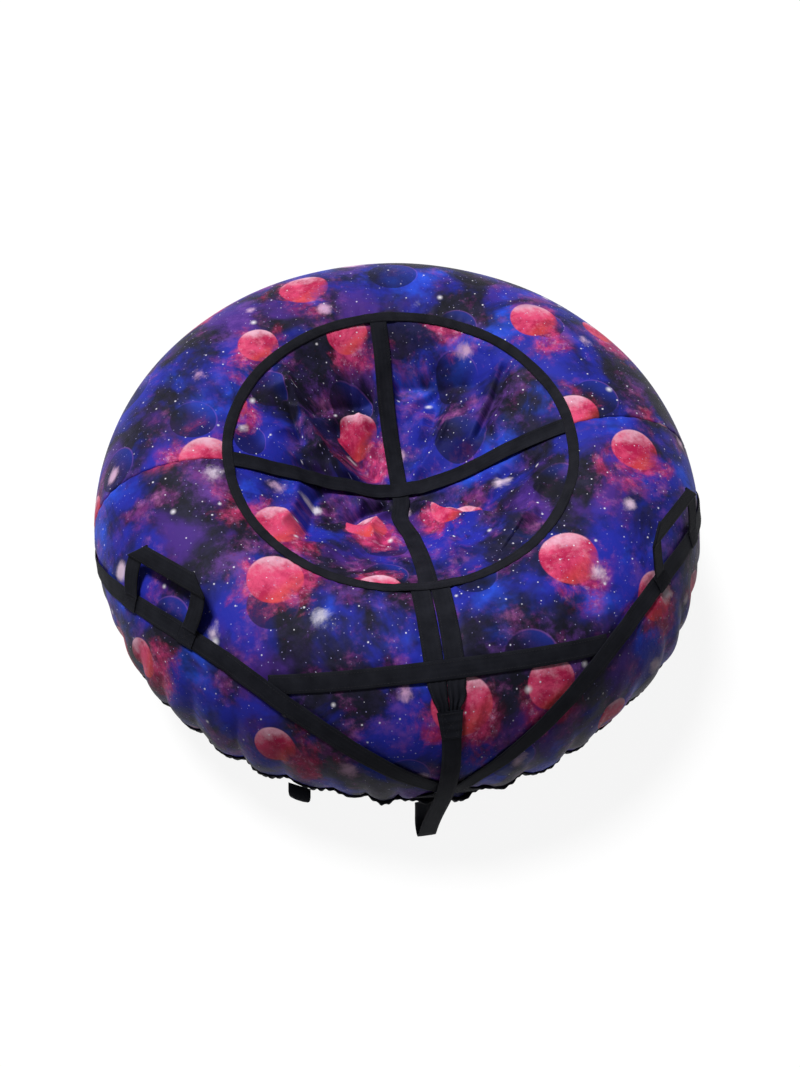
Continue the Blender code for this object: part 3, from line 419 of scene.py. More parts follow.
def web_section(points=9):
    """Shares of width and of thickness round a flat band whose selvedges thin out."""
    top = np.linspace(-0.45, 0.45, points)
    across = np.r_[-0.5, -0.492, top, 0.492, 0.5, 0.492, 0.3, 0.0, -0.3, -0.492]
    rise = np.r_[0.5, 0.84, np.ones(points), 0.84, 0.5, 0.16, 0.0, 0.0, 0.0, 0.16]
    return across, rise


def band_cut(line, across, width):
    """Flat places of a band: length along it, and the distance across it."""
    along = lengths_along(line)
    across = np.r_[across, across[0]] * np.asarray(width)[..., None]
    return np.stack(np.broadcast_arrays(along[:, None], across), axis=-1)


def add_flat_band(name, line, side, normal, width, thick):
    """A band of webbing about a line, its width along side and its thickness along normal."""
    across, rise = web_section()
    width = np.broadcast_to(width, len(line))
    side = np.broadcast_to(side, line.shape)
    rings = line[:, None] + side[:, None] * (across * width[:, None])[..., None]
    rings = rings + normal[:, None] * ((rise - 0.5) * thick)[:, None]
    return add_band(name, rings, web, band_cut(line, across, width))


def joined(rows):
    """The rows with the first one again at the end, for a band that goes round the tube."""
    return np.concatenate([rows, rows[:1]])


stitches = {"cover": [], "left_grab_handle": [], "right_grab_handle": []}


def sew(line, normal, body="cover"):
    """Marks a row of stitches along a line of points, each a little shorter than the pitch."""
    pitch = 0.0046
    length = 0.0033
    along = lengths_along(line)
    starts = np.arange(pitch / 2.0, along[-1] - length, pitch)
    spots = np.stack([starts, starts + length], axis=1)
    place = np.stack([np.interp(spots, along, line[:, k]) for k in range(3)], axis=-1)
    normal = unit(np.stack([np.interp(starts, along, normal[:, k]) for k in range(3)], axis=-1))
    stitches[body].append((place, normal))


def sew_rows(rings, normal, across, rise, rows=SELVEDGE_ROWS):
    """Rows of stitches along a band's upper side, at shares of its width."""
    for share in rows:
        column = np.abs(across - share) + (rise < 0.9)
        sew(rings[:, column.argmin()], normal)


def sew_box(rings, normal):
    """Rows of stitches across a short strap, near both of its ends and corner to corner."""
    first, last = 2, len(rings) - 3
    left, right = 3, 9
    for row in (first, last):
        sew(rings[row, left:right + 1], np.repeat(normal[row:row + 1], 7, axis=0))
    for columns in ((left, right), (right, left)):
        rows = np.linspace(first, last, 9).round().astype(int)
        places = np.linspace(*columns, 9).round().astype(int)
        sew(rings[rows, places], normal[rows])


def add_stitches(body, material):
    """All the stitches of a body: four-sided beads with five rings, proud in the middle."""
    place = np.concatenate([group[0] for group in stitches[body]])
    normal = np.concatenate([group[1] for group in stitches[body]])
    along = unit(place[:, 1] - place[:, 0])
    side = np.cross(along, normal)
    share = np.array((0.0, 0.12, 0.5, 0.88, 1.0))
    size = np.array((0.35, 0.9, 1.0, 0.9, 0.35)) * 0.00036
    lift = np.array((-0.0002, 0.00010, 0.00022, 0.00010, -0.0002))
    middle = place[:, None, 0] + (place[:, None, 1] - place[:, None, 0]) * share[None, :, None]
    middle = middle + normal[:, None] * lift[None, :, None]
    spokes = np.stack([side, normal, -side, -normal], axis=1)
    points = middle[:, :, None] + spokes[:, None] * size[None, :, None, None]
    starts = (np.arange(len(place)) * 20)[:, None, None]
    walls = (grid_faces(5, 4, False, True)[None] + starts).reshape(-1, 4)
    caps = (np.array(((3, 2, 1, 0), (16, 17, 18, 19)))[None] + starts).reshape(-1, 4)
    return add_piece(body + "_stitches", points, [walls, caps], material, body)


def tube_strap(name, around, section, lift, width=WEB, thick=THIN, folds=0.0, rows=SELVEDGE_ROWS):
    """A flat band laid along a line on the skin. folds raises three pleats across it."""
    line = skin(around, section)
    width = np.broadcast_to(width, around.shape)
    normal = unit(skin(around, section, 0.001) - line)
    side = unit(np.cross(np.gradient(line, axis=0), normal))
    across, rise = web_section(9 if np.isscalar(folds) else 25)
    place = line[:, None] + side[:, None] * (across * width[:, None])[..., None]
    creased = np.asarray(folds)[..., None] * (1.0 - np.cos(6.0 * np.pi * (across + 0.5))) / 2.0
    height = np.asarray(lift)[..., None] + rise * thick + creased * (rise > 0.6)
    rings = skin(*angles_of(place), height)
    sew_rows(rings, normal, across, rise, rows)
    strap = add_band(name + "_web", rings, web, band_cut(line, across, width))
    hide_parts(name)
    return rings, normal


def seat_strap(name, across_seat, climb):
    """A band over the seat's bowl, that rests on the highest part of the folds below it. The
    fore and aft one slips 8 mm to the left in front of the crossing."""
    reach = RING - 0.00425
    along = np.linspace(-reach, reach, 180)
    across, rise = web_section()
    lean = 0.0008 * np.sin(along * 41.0)
    if not across_seat:
        lean = 0.0012 * np.sin(along * 29.0 + 1.0) - 0.008 * near(along, -0.075, 0.008, 0.052)
    one, two = np.meshgrid(along, across * WEB, indexing="ij")
    two = two + lean[:, None]
    x, y = (one, two) if across_seat else (two, one)
    radius = np.hypot(x, y)
    relief = seat_relief(x, y).max(axis=1)
    ease_out = np.hanning(9) / np.hanning(9).sum()
    relief = np.convolve(np.pad(relief, 4, mode="edge"), ease_out, "valid")
    lift = FIRST + 0.0013 + climb * near(along, 0.0, 0.018, 0.038)
    slope = (bowl(radius + 0.001) - bowl(np.abs(radius - 0.001))) / 0.002
    size = np.hypot(1.0, slope)
    curl = np.sin(along * 63.0 + 0.6) * ease((0.25 - np.abs(along)) / 0.05)
    curl = 0.0022 * across * curl[:, None]
    height = lift[:, None] + rise * THIN + np.abs(curl)
    out = -slope / size * height / np.maximum(radius, 0.02)
    z = bowl(radius) + relief[:, None] + height / size
    rings = np.stack([x * (1.0 + out), y * (1.0 + out), z], axis=-1)
    line = rings[:, 6]
    normal = unit(np.cross(np.gradient(line, axis=0), rings[:, 8] - rings[:, 4]))
    normal *= np.sign(normal[:, 2:])
    sew_rows(rings, normal, across, rise)
    strap = add_band(name + "_web", rings, web, band_cut(line, across, WEB))
    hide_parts(name)


def colour(code):
    """An sRGB hex value as linear red, green, blue and alpha."""
    parts = np.array([int(code[k:k + 2], 16) for k in (1, 3, 5)]) / 255.0
    linear = np.where(parts <= 0.04045, parts / 12.92, ((parts + 0.055) / 1.055) ** 2.4)
    return (*linear.tolist(), 1.0)


# The property that holds a node's mode, and the kinds of node that the materials use most
MODE = {
    "Math": "operation", "VectorMath": "operation",
    "Mix": "data_type", "MapRange": "interpolation_type",
}
TIMES = "Math MULTIPLY"
TIMES_PLUS = "Math MULTIPLY_ADD"
MIX = "Mix RGBA"
EASE = "MapRange SMOOTHSTEP"


def fill(node, *values, **named):
    """Gives a node's inputs their values, in order and then by name with _ for a space. A
    value is a plain one or another node's output."""
    pairs = list(zip((socket for socket in node.inputs if socket.enabled), values))
    pairs += [(node.inputs[key.replace("_", " ")], value) for key, value in named.items()]
    for socket, value in pairs:
        if isinstance(value, bpy.types.NodeSocket):
            node.id_data.links.new(value, socket)
        else:
            socket.default_value = value


def add_node(tree, kind, *values, **words):
    """Adds a node and gives its first output. kind is its type, and its mode after a space.
    values fill its inputs in order. Of the words, those with a capital name inputs, and the
    others the node's own properties."""
    kind, _, mode = kind.partition(" ")
    made = tree.nodes.new("ShaderNode" + kind)
    if mode:
        setattr(made, MODE[kind], mode)
    for key, value in words.items():
        if key.islower():
            setattr(made, key, value)
    fill(made, *values, **{key: value for key, value in words.items() if not key.islower()})
    return next(socket for socket in made.outputs if socket.enabled)


def start_material(name, **values):
    """A named material, its node adder and its principled shader with values on its sockets."""
    material = bpy.data.materials.new(name)
    material.use_nodes = True
    shader = material.node_tree.nodes["Principled BSDF"]
    fill(shader, **values)
    return material, partial(add_node, material.node_tree), shader


def space_print():
    """Polyester Oxford cloth, heat-printed and coated behind. It gives the eye soft clouds of
    ink that run from charcoal to royal blue, violet and crimson, crisp lit discs and fine
    points of light. A scale counts cells to the metre of flat cloth, and a shift picks which
    part of an endless pattern is printed."""
    material, node, shader = start_material("printed_oxford_cloth", Specular_IOR_Level=0.06)
    place = node("TexCoord").node.outputs["UV"]

    def mottle(scale, shift, detail=5.0, rough=0.58, twist=0.0):
        """Cloudy tones about 0.5, moved by shift."""
        moved = node("VectorMath ADD", place, shift)
        words = {"Scale": scale, "Detail": detail, "Roughness": rough, "Distortion": twist}
        return node("TexNoise", Vector=moved, **words)

    def lay(share, strength, over):
        """The ink with a colour laid over it, by a share of it times a strength."""
        return node(MIX, node(TIMES, share, strength), ink, over)

    def length(x, y):
        """Square root of x squared and y squared."""
        return node("Math SQRT", node("Math ADD", node(TIMES, x, x), node(TIMES, y, y)))

    # Clouds of ink: blobs 120 mm across for the blue, 80 mm for the violet
    grain = mottle(46.0, (7.0, 2.0, 0.0), 7.0, 0.66)
    ground = node(MIX, node(EASE, grain, 0.35, 0.7), colour("#14141f"), colour("#26233c"))
    violet = node(EASE, mottle(7.2, (2.7, 5.2, 0.0), twist=0.4), 0.49, 0.66)
    ink = node(MIX, violet, ground, colour("#4b2d86"))
    azure = node(EASE, mottle(8.5, (4.1, 0.4, 0.0)), 0.50, 0.70)
    azure = node(MIX, azure, colour("#2a31ae"), colour("#2f5df2"))
    ink = lay(node(EASE, mottle(5.6, (0.3, 1.1, 0.0), twist=0.5), 0.44, 0.60), 0.94, azure)
    dark = node(EASE, mottle(4.6, (1.7, 14.2, 0.0), 6.0, 0.62, 0.6), 0.50, 0.60)
    ink = lay(dark, 0.86, ground)
    mist = node(EASE, mottle(9.0, (12.0, 8.0, 0.0), 9.0, 0.72), 0.52, 0.70)
    ink = lay(mist, 0.66, colour("#7c4cae"))
    haze = node(EASE, mottle(11.0, (9.0, 3.0, 0.0), 9.0, 0.70), 0.52, 0.70)
    rose = node(MIX, node(EASE, grain, 0.45, 0.68), colour("#8c3a8c"), colour("#cf78bc"))
    ink = lay(haze, 0.72, rose)

    def discs(scale, shift, small, large, keep):
        """Discs scattered one to a cell, faded at the cell's edges. Gives the place in a disc
        and the distance from its centre, in radii, whether it is there, and a chance."""
        moved = node("VectorMath ADD", place, shift)
        cells = {"Vector": moved, "Scale": scale, "Randomness": 0.62, "voronoi_dimensions": "2D"}
        cell = node("TexVoronoi", **cells).node.outputs
        size, kept, chance = node("SeparateColor", cell["Color"]).node.outputs
        radius = node(TIMES_PLUS, size, large - small, small)
        away = node("VectorMath SUBTRACT", moved, cell["Position"])
        away = node("SeparateXYZ", away).node.outputs
        x, y = node("Math DIVIDE", away["X"], radius), node("Math DIVIDE", away["Y"], radius)
        edge = node("TexVoronoi", feature="DISTANCE_TO_EDGE", **cells).node.outputs["Distance"]
        there = node("Math GREATER_THAN", kept, 1.0 - keep)
        return x, y, length(x, y), node(TIMES, there, node(EASE, edge, 0.0, 0.16)), chance

    # Dark discs 60 to 90 mm across with a thin violet outline
    x, y, far, there, _ = discs(6.3, (3.3, 8.1, 0.0), 0.030, 0.044, 0.72)
    lit = node(EASE, node(TIMES_PLUS, x, 0.7, node(TIMES, y, 0.6)), -0.1, 1.0)
    face = node(MIX, lit, colour("#12121c"), colour("#28389e"))
    ink = lay(node(TIMES, node(EASE, far, 1.0, 0.95), there), 0.72, face)
    rim = node(EASE, node("Math ABSOLUTE", node("Math SUBTRACT", far, 1.0)), 0.05, 0.0)
    ink = lay(node(TIMES, node(TIMES, rim, there), lit), 0.5, colour("#8a5cc0"))

    # A haze that drifts off to one side of each crimson disc
    x, y, far, there, chance = discs(5.0, (0.9, 0.35, 0.0), 0.034, 0.047, 0.74)
    ragged = mottle(12.0, (5.5, 7.7, 0.0), 9.0, 0.72, 0.4)
    fine = node(EASE, mottle(70.0, (2.0, 9.0, 0.0), 8.0, 0.75), 0.50, 0.66)
    across = node("Math SUBTRACT", x, node(TIMES_PLUS, chance, 2.0, -1.0))
    beside = node("Math SUBTRACT", y, node(TIMES_PLUS, chance, -1.4, 0.3))
    drift = node(TIMES, length(across, beside), -0.50)
    halo = node(EASE, node(TIMES_PLUS, ragged, 3.6, drift), 1.00, 1.75)
    cloud = node(MIX, node(EASE, grain, 0.42, 0.62), colour("#9c2454"), colour("#e0487e"))
    cloud = node(MIX, node(TIMES, fine, 0.62), cloud, colour("#f4a6cc"))
    ink = lay(node(TIMES, halo, there), 0.92, cloud)

    # The crimson discs, 70 to 95 mm across, mottled, paler above and orange below
    face = node(MIX, node(EASE, ragged, 0.40, 0.58), colour("#b62050"), colour("#e8507c"))
    face = node(MIX, node(TIMES, fine, 0.35), face, colour("#f29ab4"))
    light = node(EASE, node(TIMES_PLUS, grain, 0.8, node(TIMES, y, 0.5)), 0.50, 0.95)
    face = node(MIX, light, face, colour("#f4bcd2"))
    ember = node(EASE, node(TIMES_PLUS, x, 0.5, node(TIMES, y, -0.7)), 0.10, 0.75)
    face = node(MIX, node(TIMES, ember, 0.72), face, colour("#e2501e"))
    shade = node(TIMES_PLUS, y, 0.5, node(TIMES, ragged, 0.9))
    shade = node(EASE, node(TIMES_PLUS, x, -0.55, shade), -0.40, 0.20)
    inside = node(TIMES, node(EASE, far, 1.0, 0.94), there)
    ink = lay(node(TIMES, inside, shade), 1.0, face)

    # White and pink puffs, 25 to 35 mm across
    _, _, far, there, chance = discs(7.4, (8.2, 5.9, 0.0), 0.012, 0.022, 0.42)
    puff = node(EASE, node(TIMES_PLUS, ragged, 3.0, node(TIMES, far, -0.75)), 0.78, 1.55)
    pale = node(MIX, chance, colour("#e8b4dc"), colour("#f8f2fb"))
    ink = lay(node(TIMES, puff, there), 0.85, pale)

    # Points of light, one to a cell and kept by chance: dust 1 to 2 mm across, sparks 2 to
    # 5 mm and soft glows 8 to 14 mm
    for scale, shift, size, soft, keep, strength, light in (
        (88.0, (1.3, 2.9, 0.0), 0.0013, 0.2, 0.42, 0.80, "#b9b4f0"),
        (34.0, (6.3, 0.9, 0.0), 0.0025, 0.1, 0.46, 0.95, "#f4f0fe"),
        (9.0, (2.2, 4.4, 0.0), 0.0095, -0.2, 0.50, 1.00, "#fbf6fe"),
    ):
        moved = node("VectorMath ADD", place, shift)
        cell = node("TexVoronoi", Vector=moved, Scale=scale, voronoi_dimensions="2D").node.outputs
        chance, kept, _ = node("SeparateColor", cell["Color"]).node.outputs
        reach = node(TIMES_PLUS, chance, size * 0.7, size * 0.3)
        far = node("Math DIVIDE", node("Math DIVIDE", cell["Distance"], scale), reach)
        there = node("Math GREATER_THAN", kept, 1.0 - keep)
        ink = lay(node(TIMES, node(EASE, far, 1.0, soft), there), strength, colour(light))

    # Plain weave: yarns 0.5 mm apart, drawn 1.2 mm apart so that they show
    yarns = 2.0 * np.pi / 0.0012
    split = node("SeparateXYZ", place).node.outputs
    weft = node("Math SINE", node(TIMES, split["X"], yarns))
    warp = node("Math SINE", node(TIMES, split["Y"], yarns))
    weave = node(TIMES, node(TIMES, weft, warp), 0.22)
    relief = node(TIMES_PLUS, mottle(150.0, (1.0, 6.0, 0.0), 3.0, 0.5), 2.2, weave)
    bump = node("Bump", Height=relief, Distance=0.0004, Strength=0.5)
    rough = node(TIMES_PLUS, mottle(24.0, (3.0, 3.0, 0.0)), 0.18, 0.40)
    fill(shader, Base_Color=ink, Normal=bump, Roughness=rough)
    return material


def webbing(name, dark, light, rib=0.0022):
    """Polypropylene webbing woven in a herringbone. It gives the eye a dull black band whose
    ribs, drawn at twice their pitch, catch a little light and change sides every 3.5 mm."""
    material, node, shader = start_material(name, Roughness=0.62, Specular_IOR_Level=0.04)
    place = node("TexCoord").node.outputs["UV"]
    split = node("SeparateXYZ", place).node.outputs
    slant = node("Math ADD", split["X"], node("Math PINGPONG", split["Y"], 0.0035))
    wave = node("Math SINE", node(TIMES, slant, 2.0 * np.pi / rib))
    fuzz = node("TexNoise", Vector=place, Scale=900.0, Detail=2.0)
    cloudy = node("TexNoise", Vector=place, Scale=38.0, Detail=3.0)
    share = node("MapRange LINEAR", cloudy, 0.3, 0.7)
    relief = node(TIMES_PLUS, wave, 0.5, fuzz)
    bump = node("Bump", Height=relief, Distance=0.0004, Strength=0.7)
    fill(shader, Base_Color=node(MIX, share, colour(dark), colour(light)), Normal=bump)
    return material


def plain_finish(name, dark, light, rough, scale, bumps, distance, metallic=0.0):
    """A finish on Object coordinates: two close tones in soft patches of the given scale,
    roughness that follows them, and fine grain of the given height."""
    shine = 0.5 if metallic else 0.18
    material, node, shader = start_material(name, Metallic=metallic, Specular_IOR_Level=shine)
    place = node("TexCoord").node.outputs["Object"]
    patches = node("TexNoise", Vector=place, Scale=scale, Detail=4.0)
    tone = node("ValToRGB", patches)
    for element, spot, code in zip(tone.node.color_ramp.elements, (0.35, 0.65), (dark, light)):
        element.position = spot
        element.color = colour(code)
    follow = node("MapRange LINEAR", patches, 0.3, 0.7, rough - 0.06, rough + 0.06)
    grain = node("TexNoise", Vector=place, Scale=bumps, Detail=3.0)
    bump = node("Bump", Height=grain, Distance=distance, Strength=0.6)
    fill(shader, Base_Color=tone, Roughness=follow, Normal=bump)
    return material


add_camera()

cloth = space_print()
# Black polypropylene webbing: dull, a little grey where the light comes from behind it
web = webbing("black_webbing", "#14151b", "#212229")
# Grosgrain binding tape: finer ribs than the webbing, a little greyer
tape = webbing("grosgrain_tape", "#191a20", "#26262d", rib=0.0014)
# Black PVC-coated cloth: semi-matt, with a faint grain, scuffed grey in patches
coated = plain_finish("black_coated_cloth", "#141417", "#1d1d21", 0.42, 9.0, 420.0, 0.0003)
# Butyl rubber: matt black with a dusty bloom
rubber = plain_finish("butyl_rubber", "#161616", "#212120", 0.72, 22.0, 300.0, 0.0002)
# Bonded polyester thread: black and nearly matt
thread = plain_finish("polyester_thread", "#121217", "#1b1b21", 0.65, 300.0, 1500.0, 0.0001)
# Turned brass, dulled by handling
brass = plain_finish("brass", "#b98f4a", "#d0a860", 0.28, 220.0, 900.0, 0.00002, metallic=1.0)
# Moulded polyamide: black, finely pitted
plastic = plain_finish("black_plastic", "#17171a", "#202024", 0.48, 120.0, 900.0, 0.0001)
# Tumbled zinc alloy: grey, softly dented
zinc = plain_finish("zinc_alloy", "#8b8b8f", "#a5a5a9", 0.36, 180.0, 700.0, 0.00005, metallic=1.0)


def add_tow_loop():
    """The flat webbing carried along its route, a Catmull-Rom curve through the points, its
    width kept level."""
    route = np.array(TOW)
    padded = np.vstack([2 * route[0] - route[1], route, 2 * route[-1] - route[-2]])
    share = np.linspace(0.0, 1.0, 8, endpoint=False)[:, None]
    dense = []
    for k in range(len(route) - 1):
        before, start, end, after = padded[k:k + 4]
        pull = (-share**3 + 2 * share**2 - share) * before + (share**3 - share**2) * after
        hold = (3 * share**3 - 5 * share**2 + 2) * start
        hold += (-3 * share**3 + 4 * share**2 + share) * end
        dense.append((pull + hold) / 2.0)
    line = np.vstack(dense + [route[-1:]])
    along = lengths_along(line)
    even = np.linspace(0.0, along[-1], 120)
    line = np.stack([np.interp(even, along, line[:, k]) for k in range(3)], axis=1)
    tangent = unit(np.gradient(line, axis=0))
    side = unit(np.array((1.0, 0.0, 0.0)) - tangent[:, :1] * tangent)
    normal = np.cross(side, tangent)
    loop = add_flat_band("tow_webbing", line, side, normal, WEB, 0.0020)
    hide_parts("tow_loop")
    for share in SELVEDGE_ROWS:
        sew(line + side * share * WEB + normal * 0.0010, normal)


add_tow_loop()

# Length along the section from the seat ring outwards, for the flat cut of the cover
SECTIONS = np.linspace(section_of(RING), -107.0, 400)
ARC = lengths_along(skin(np.zeros(400), SECTIONS)[:, 1:])


def add_cover_half(name, middle, offset):
    """Half of the cover: an outer and an inner skin lifted by cover_lift, cut in the flat
    as half a ring whose radius is the length along the section."""
    around = middle + np.linspace(-89.98, 89.98, 381)
    section = np.linspace(section_of(RING + 0.0002), HEM + 0.07, 118)
    around, section = np.meshgrid(around, section, indexing="ij")
    lift = cover_lift(turn_from(around, 0.0), section)
    reach = RING + np.interp(-section, -SECTIONS, ARC)
    turn = np.radians(around)
    cut = np.stack([reach * np.sin(turn), -reach * np.cos(turn)], axis=-1) + offset
    outer = skin(around, section, lift)
    inner = skin(around, section, lift - CLOTH)
    half = add_cloth(name + "_cloth", outer, inner, cloth, cut)
    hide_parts(name)


add_cover_half("front_cover_panel", 0.0, (0.0, 0.0))
add_cover_half("rear_cover_panel", 180.0, (2.31, -1.27))


def add_seat():
    """The seat: a square grid drawn out to a disc by x = a sqrt(1 - b^2 / 2) and the same
    for y, laid on the bowl with its folds. The print slips with the folds' height, as cloth
    is taken up in them."""
    share = np.linspace(-1.0, 1.0, 221)
    a, b = np.meshgrid(share, share, indexing="ij")
    x = (RING - 0.0002) * a * np.sqrt(1.0 - b * b / 2.0)
    y = (RING - 0.0002) * b * np.sqrt(1.0 - a * a / 2.0)
    radius = np.hypot(x, y)
    relief = seat_relief(x, y)
    outer = np.stack([x, y, bowl(radius) + relief], axis=-1)
    normal = unit(np.cross(np.gradient(outer, axis=0), np.gradient(outer, axis=1)))
    inner = outer - normal * CLOTH * np.sign(normal[..., 2:])
    stretch = 1.0 + 0.16 * radius / RING
    cut = (x * stretch + 0.7 * relief - 3.17, y * stretch - 0.5 * relief + 4.63)
    seat = add_cloth("seat_cloth", outer, inner, cloth, np.stack(cut, axis=-1))
    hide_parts("seat_panel")


add_seat()


def climbs_over(around, climbs):
    """1 on each strap that a band round the tube climbs over, given by its angle and the
    angles from there at which the climb is full and gone."""
    return sum(near(turn_from(around, middle), 0.0, full, none) for middle, full, none in climbs)


def add_binding():
    """Tape round the seat: a low dome 17 mm wide that climbs over the strap ends."""
    around = np.linspace(0.0, 360.0, 960, endpoint=False)
    turn = np.radians(around)
    ends = ((0.0, 7.5, 12.0), (90.0, 4.0, 8.0), (180.0, 4.0, 8.0), (270.0, 4.0, 8.0))
    ripple = 0.0002 * np.sin(turn * 97.0 + 2.0 * np.sin(turn * 7.0))
    low = FIRST + climbs_over(around, ends) * STEP_UP + ripple
    across, rise = web_section(11)
    width = 0.0168 + 0.0005 * np.sin(turn * 23.0)
    shift = 0.0004 * np.sin(turn * 11.0 + 1.0)
    middle = skin(around, section_of(RING))
    normal = unit(skin(around, section_of(RING), 0.001) - middle)
    side = unit(np.cross(unit(np.gradient(middle, axis=0)), normal))
    place = middle[:, None] + side[:, None] * (across * width[:, None] + shift[:, None])[..., None]
    dome = 0.0007 * (1.0 - (2.0 * across) ** 2)
    rings = skin(*angles_of(place), low[:, None] + rise * 0.0013 + dome * (rise > 0.4))
    cut = band_cut(joined(middle), across, 0.017)
    binding = add_band("seat_ring_tape", rings, tape, cut, round_rows=True)
    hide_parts("seat_ring_binding")
    sew_rows(joined(rings), joined(normal), across, rise, (0.36, -0.36))


add_binding()


def underside_lift(around, section):
    """The underside follows the gathers of the hem and smooths out in 60 mm below it."""
    return ease((section + 46.0) / 20.0) * cover_lift(around, np.full_like(section, HEM + 0.2))


def add_hem():
    """The gathered hem: a soft band round the cover's edge, rippled by sines where the thread
    draws it in, fuller at its lower edge."""
    around = np.linspace(-180.0, 180.0, 1800, endpoint=False)
    turn = np.radians(around)
    over = climbs_over(around, ((0.0, 9.5, 14.0), (93.0, 5.0, 10.0), (-93.0, 5.0, 10.0)))
    share = np.array((-0.5, -0.49, -0.4, -0.25, -0.1, 0.1, 0.25, 0.4, 0.49, 0.5, 0.4, 0.0, -0.4))
    rise = np.array((0.4, 0.8, 1.0, 1.15, 1.1, 1.1, 1.15, 1.0, 0.8, 0.4, 0.0, 0.0, 0.0))
    section = HEM - share * 8.4 - 0.7 * np.sin(turn * 48.0)[:, None]
    base = np.maximum(cover_lift(around, np.full_like(around, HEM + 0.2)), -0.002)
    ripple = np.sin(turn * 263.0 + 3.0 * np.sin(turn * 11.0)) * (0.7 + 0.3 * np.sin(turn * 29.0))
    swell = 0.0012 + 0.0012 * ripple[:, None] * (0.6 + 0.8 * (share + 0.5))
    low = FIRST + base[:, None] * (1.0 + 0.2 * share) + over[:, None] * STEP_UP
    lift = low + (0.0018 + swell) * rise - 0.0045 * (rise < 0.3)
    rings = skin(around[:, None], section, lift)
    cut = band_cut(joined(rings[:, 5]), share, 0.024)
    hem = add_band("gathered_hem", rings, tape, cut, round_rows=True)
    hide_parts("hem_band")


add_hem()


def add_underside():
    """The underside: rings from the hem in to the flat, the recess and the zip's slot, which
    are blended from a circle to the slot's rectangle by share of the way round."""
    count = 420
    share = np.arange(count) / count
    around = share * 360.0
    turn = np.radians(around)
    circle = np.stack([np.sin(turn), -np.cos(turn)], axis=-1)
    columns = []
    for section in np.linspace(HEM - 0.07, -81.3, 34):
        lift = underside_lift(turn_from(around, 0.0), np.full(count, section))
        columns.append(skin(around, section, lift))

    # The slot, 400 x 20 mm, walked round from the middle of its front side
    corners = (0.0, 0.2, 0.22, 0.62, 0.64, 0.84)
    x = np.interp(share * corners[-1], corners, (0.0, 0.2, 0.2, -0.2, -0.2, 0.0))
    y = np.interp(share * corners[-1], corners, (-0.01, -0.01, 0.01, 0.01, -0.01, -0.01))
    slot = np.stack([x, y], axis=-1)

    # Radius and height of the rings on the flat and up into the recess
    step = ((0.345, 0.0002), (0.327, 0.0), (0.301, 0.0), (0.286, 0.003), (0.27, 0.0068),
            (0.258, 0.0108), (0.246, 0.012))
    for radius, height in step:
        columns.append(np.concatenate([circle * radius, np.full((count, 1), height)], axis=1))
    radius, height = step[-1]
    for way in np.linspace(0.0, 1.0, 16)[1:]:
        ring = circle * radius * (1.0 - way) + slot * way
        wave = np.sin(ring[:, :1] * 70.0 + ring[:, 1:] * 40.0) * (1.0 - way) * way
        columns.append(np.concatenate([ring, height + 0.0024 * wave], axis=1))
    outer = np.stack(columns, axis=1)
    ahead = np.roll(outer, -1, axis=0) - np.roll(outer, 1, axis=0)
    normal = unit(np.cross(ahead, np.gradient(outer, axis=1)))
    normal *= np.where(normal[..., 2:] > 0.0, -1.0, 1.0)
    steps = np.linalg.norm(np.diff(outer, axis=1), axis=2).mean(axis=0)
    reach = 0.56 - np.r_[0.0, np.cumsum(steps)]
    cut = circle[:, None] * reach[None, :, None]
    inner = outer - normal * CLOTH
    panel = add_cloth("underside_cloth", outer, inner, coated, cut, round_rows=True)
    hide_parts("bottom_panel")


add_underside()


def add_inner_tube():
    """The rubber tube: the skin's own ellipse, 5 mm smaller all round."""
    around, section = np.meshgrid(np.arange(0, 360, 2.0), np.arange(0, 360, 5.0), indexing="ij")
    faces = [grid_faces(*around.shape, True, True)]
    tube = add_piece("rubber_tube", skin(around, section, -0.005), faces, rubber)
    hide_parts("inner_tube")


add_inner_tube()


def add_harness():
    """The twin straps, which narrow and pleat into the tow patch, and the strap over them."""
    section = np.r_[np.linspace(106.6, 62.0, 46), np.linspace(61.4, 34.5, 40)]
    spots = (34.0, 46.0, 48.0, 52.0, 58.0, 61.0)
    even = np.interp(section, spots, (0.0126, 0.0160, 0.0172, 0.0222, 0.0268, 0.028))
    spots = (40.0, 46.0, 48.5, 52.0, 58.0, 62.0)
    folds = np.interp(section, spots, (0.0004, 0.0016, 0.0042, 0.0022, 0.0010, 0.0))
    slit = 0.0002 + 0.0005 * ease((section - 60.0) / 6.0)
    radius = MIDDLE + HALF_WIDTH * np.cos(np.radians(section))
    for name, sign in (("tow_harness_strap_left", -1.0), ("tow_harness_strap_right", 1.0)):
        width = even + 0.0014 * (1.0 + sign) * near(section, 52.0, 1.0, 4.5)
        around = np.degrees(np.arcsin(sign * (width / 2.0 + slit) / radius))
        tube_strap(name, around, section, FIRST, width, folds=folds)
    around = np.linspace(-33.0, 33.0, 140)
    lift = FIRST + STEP_UP * near(around, 0.0, 5.0, 10.0)
    tube_strap("front_cross_strap", around, crossing(around), lift)


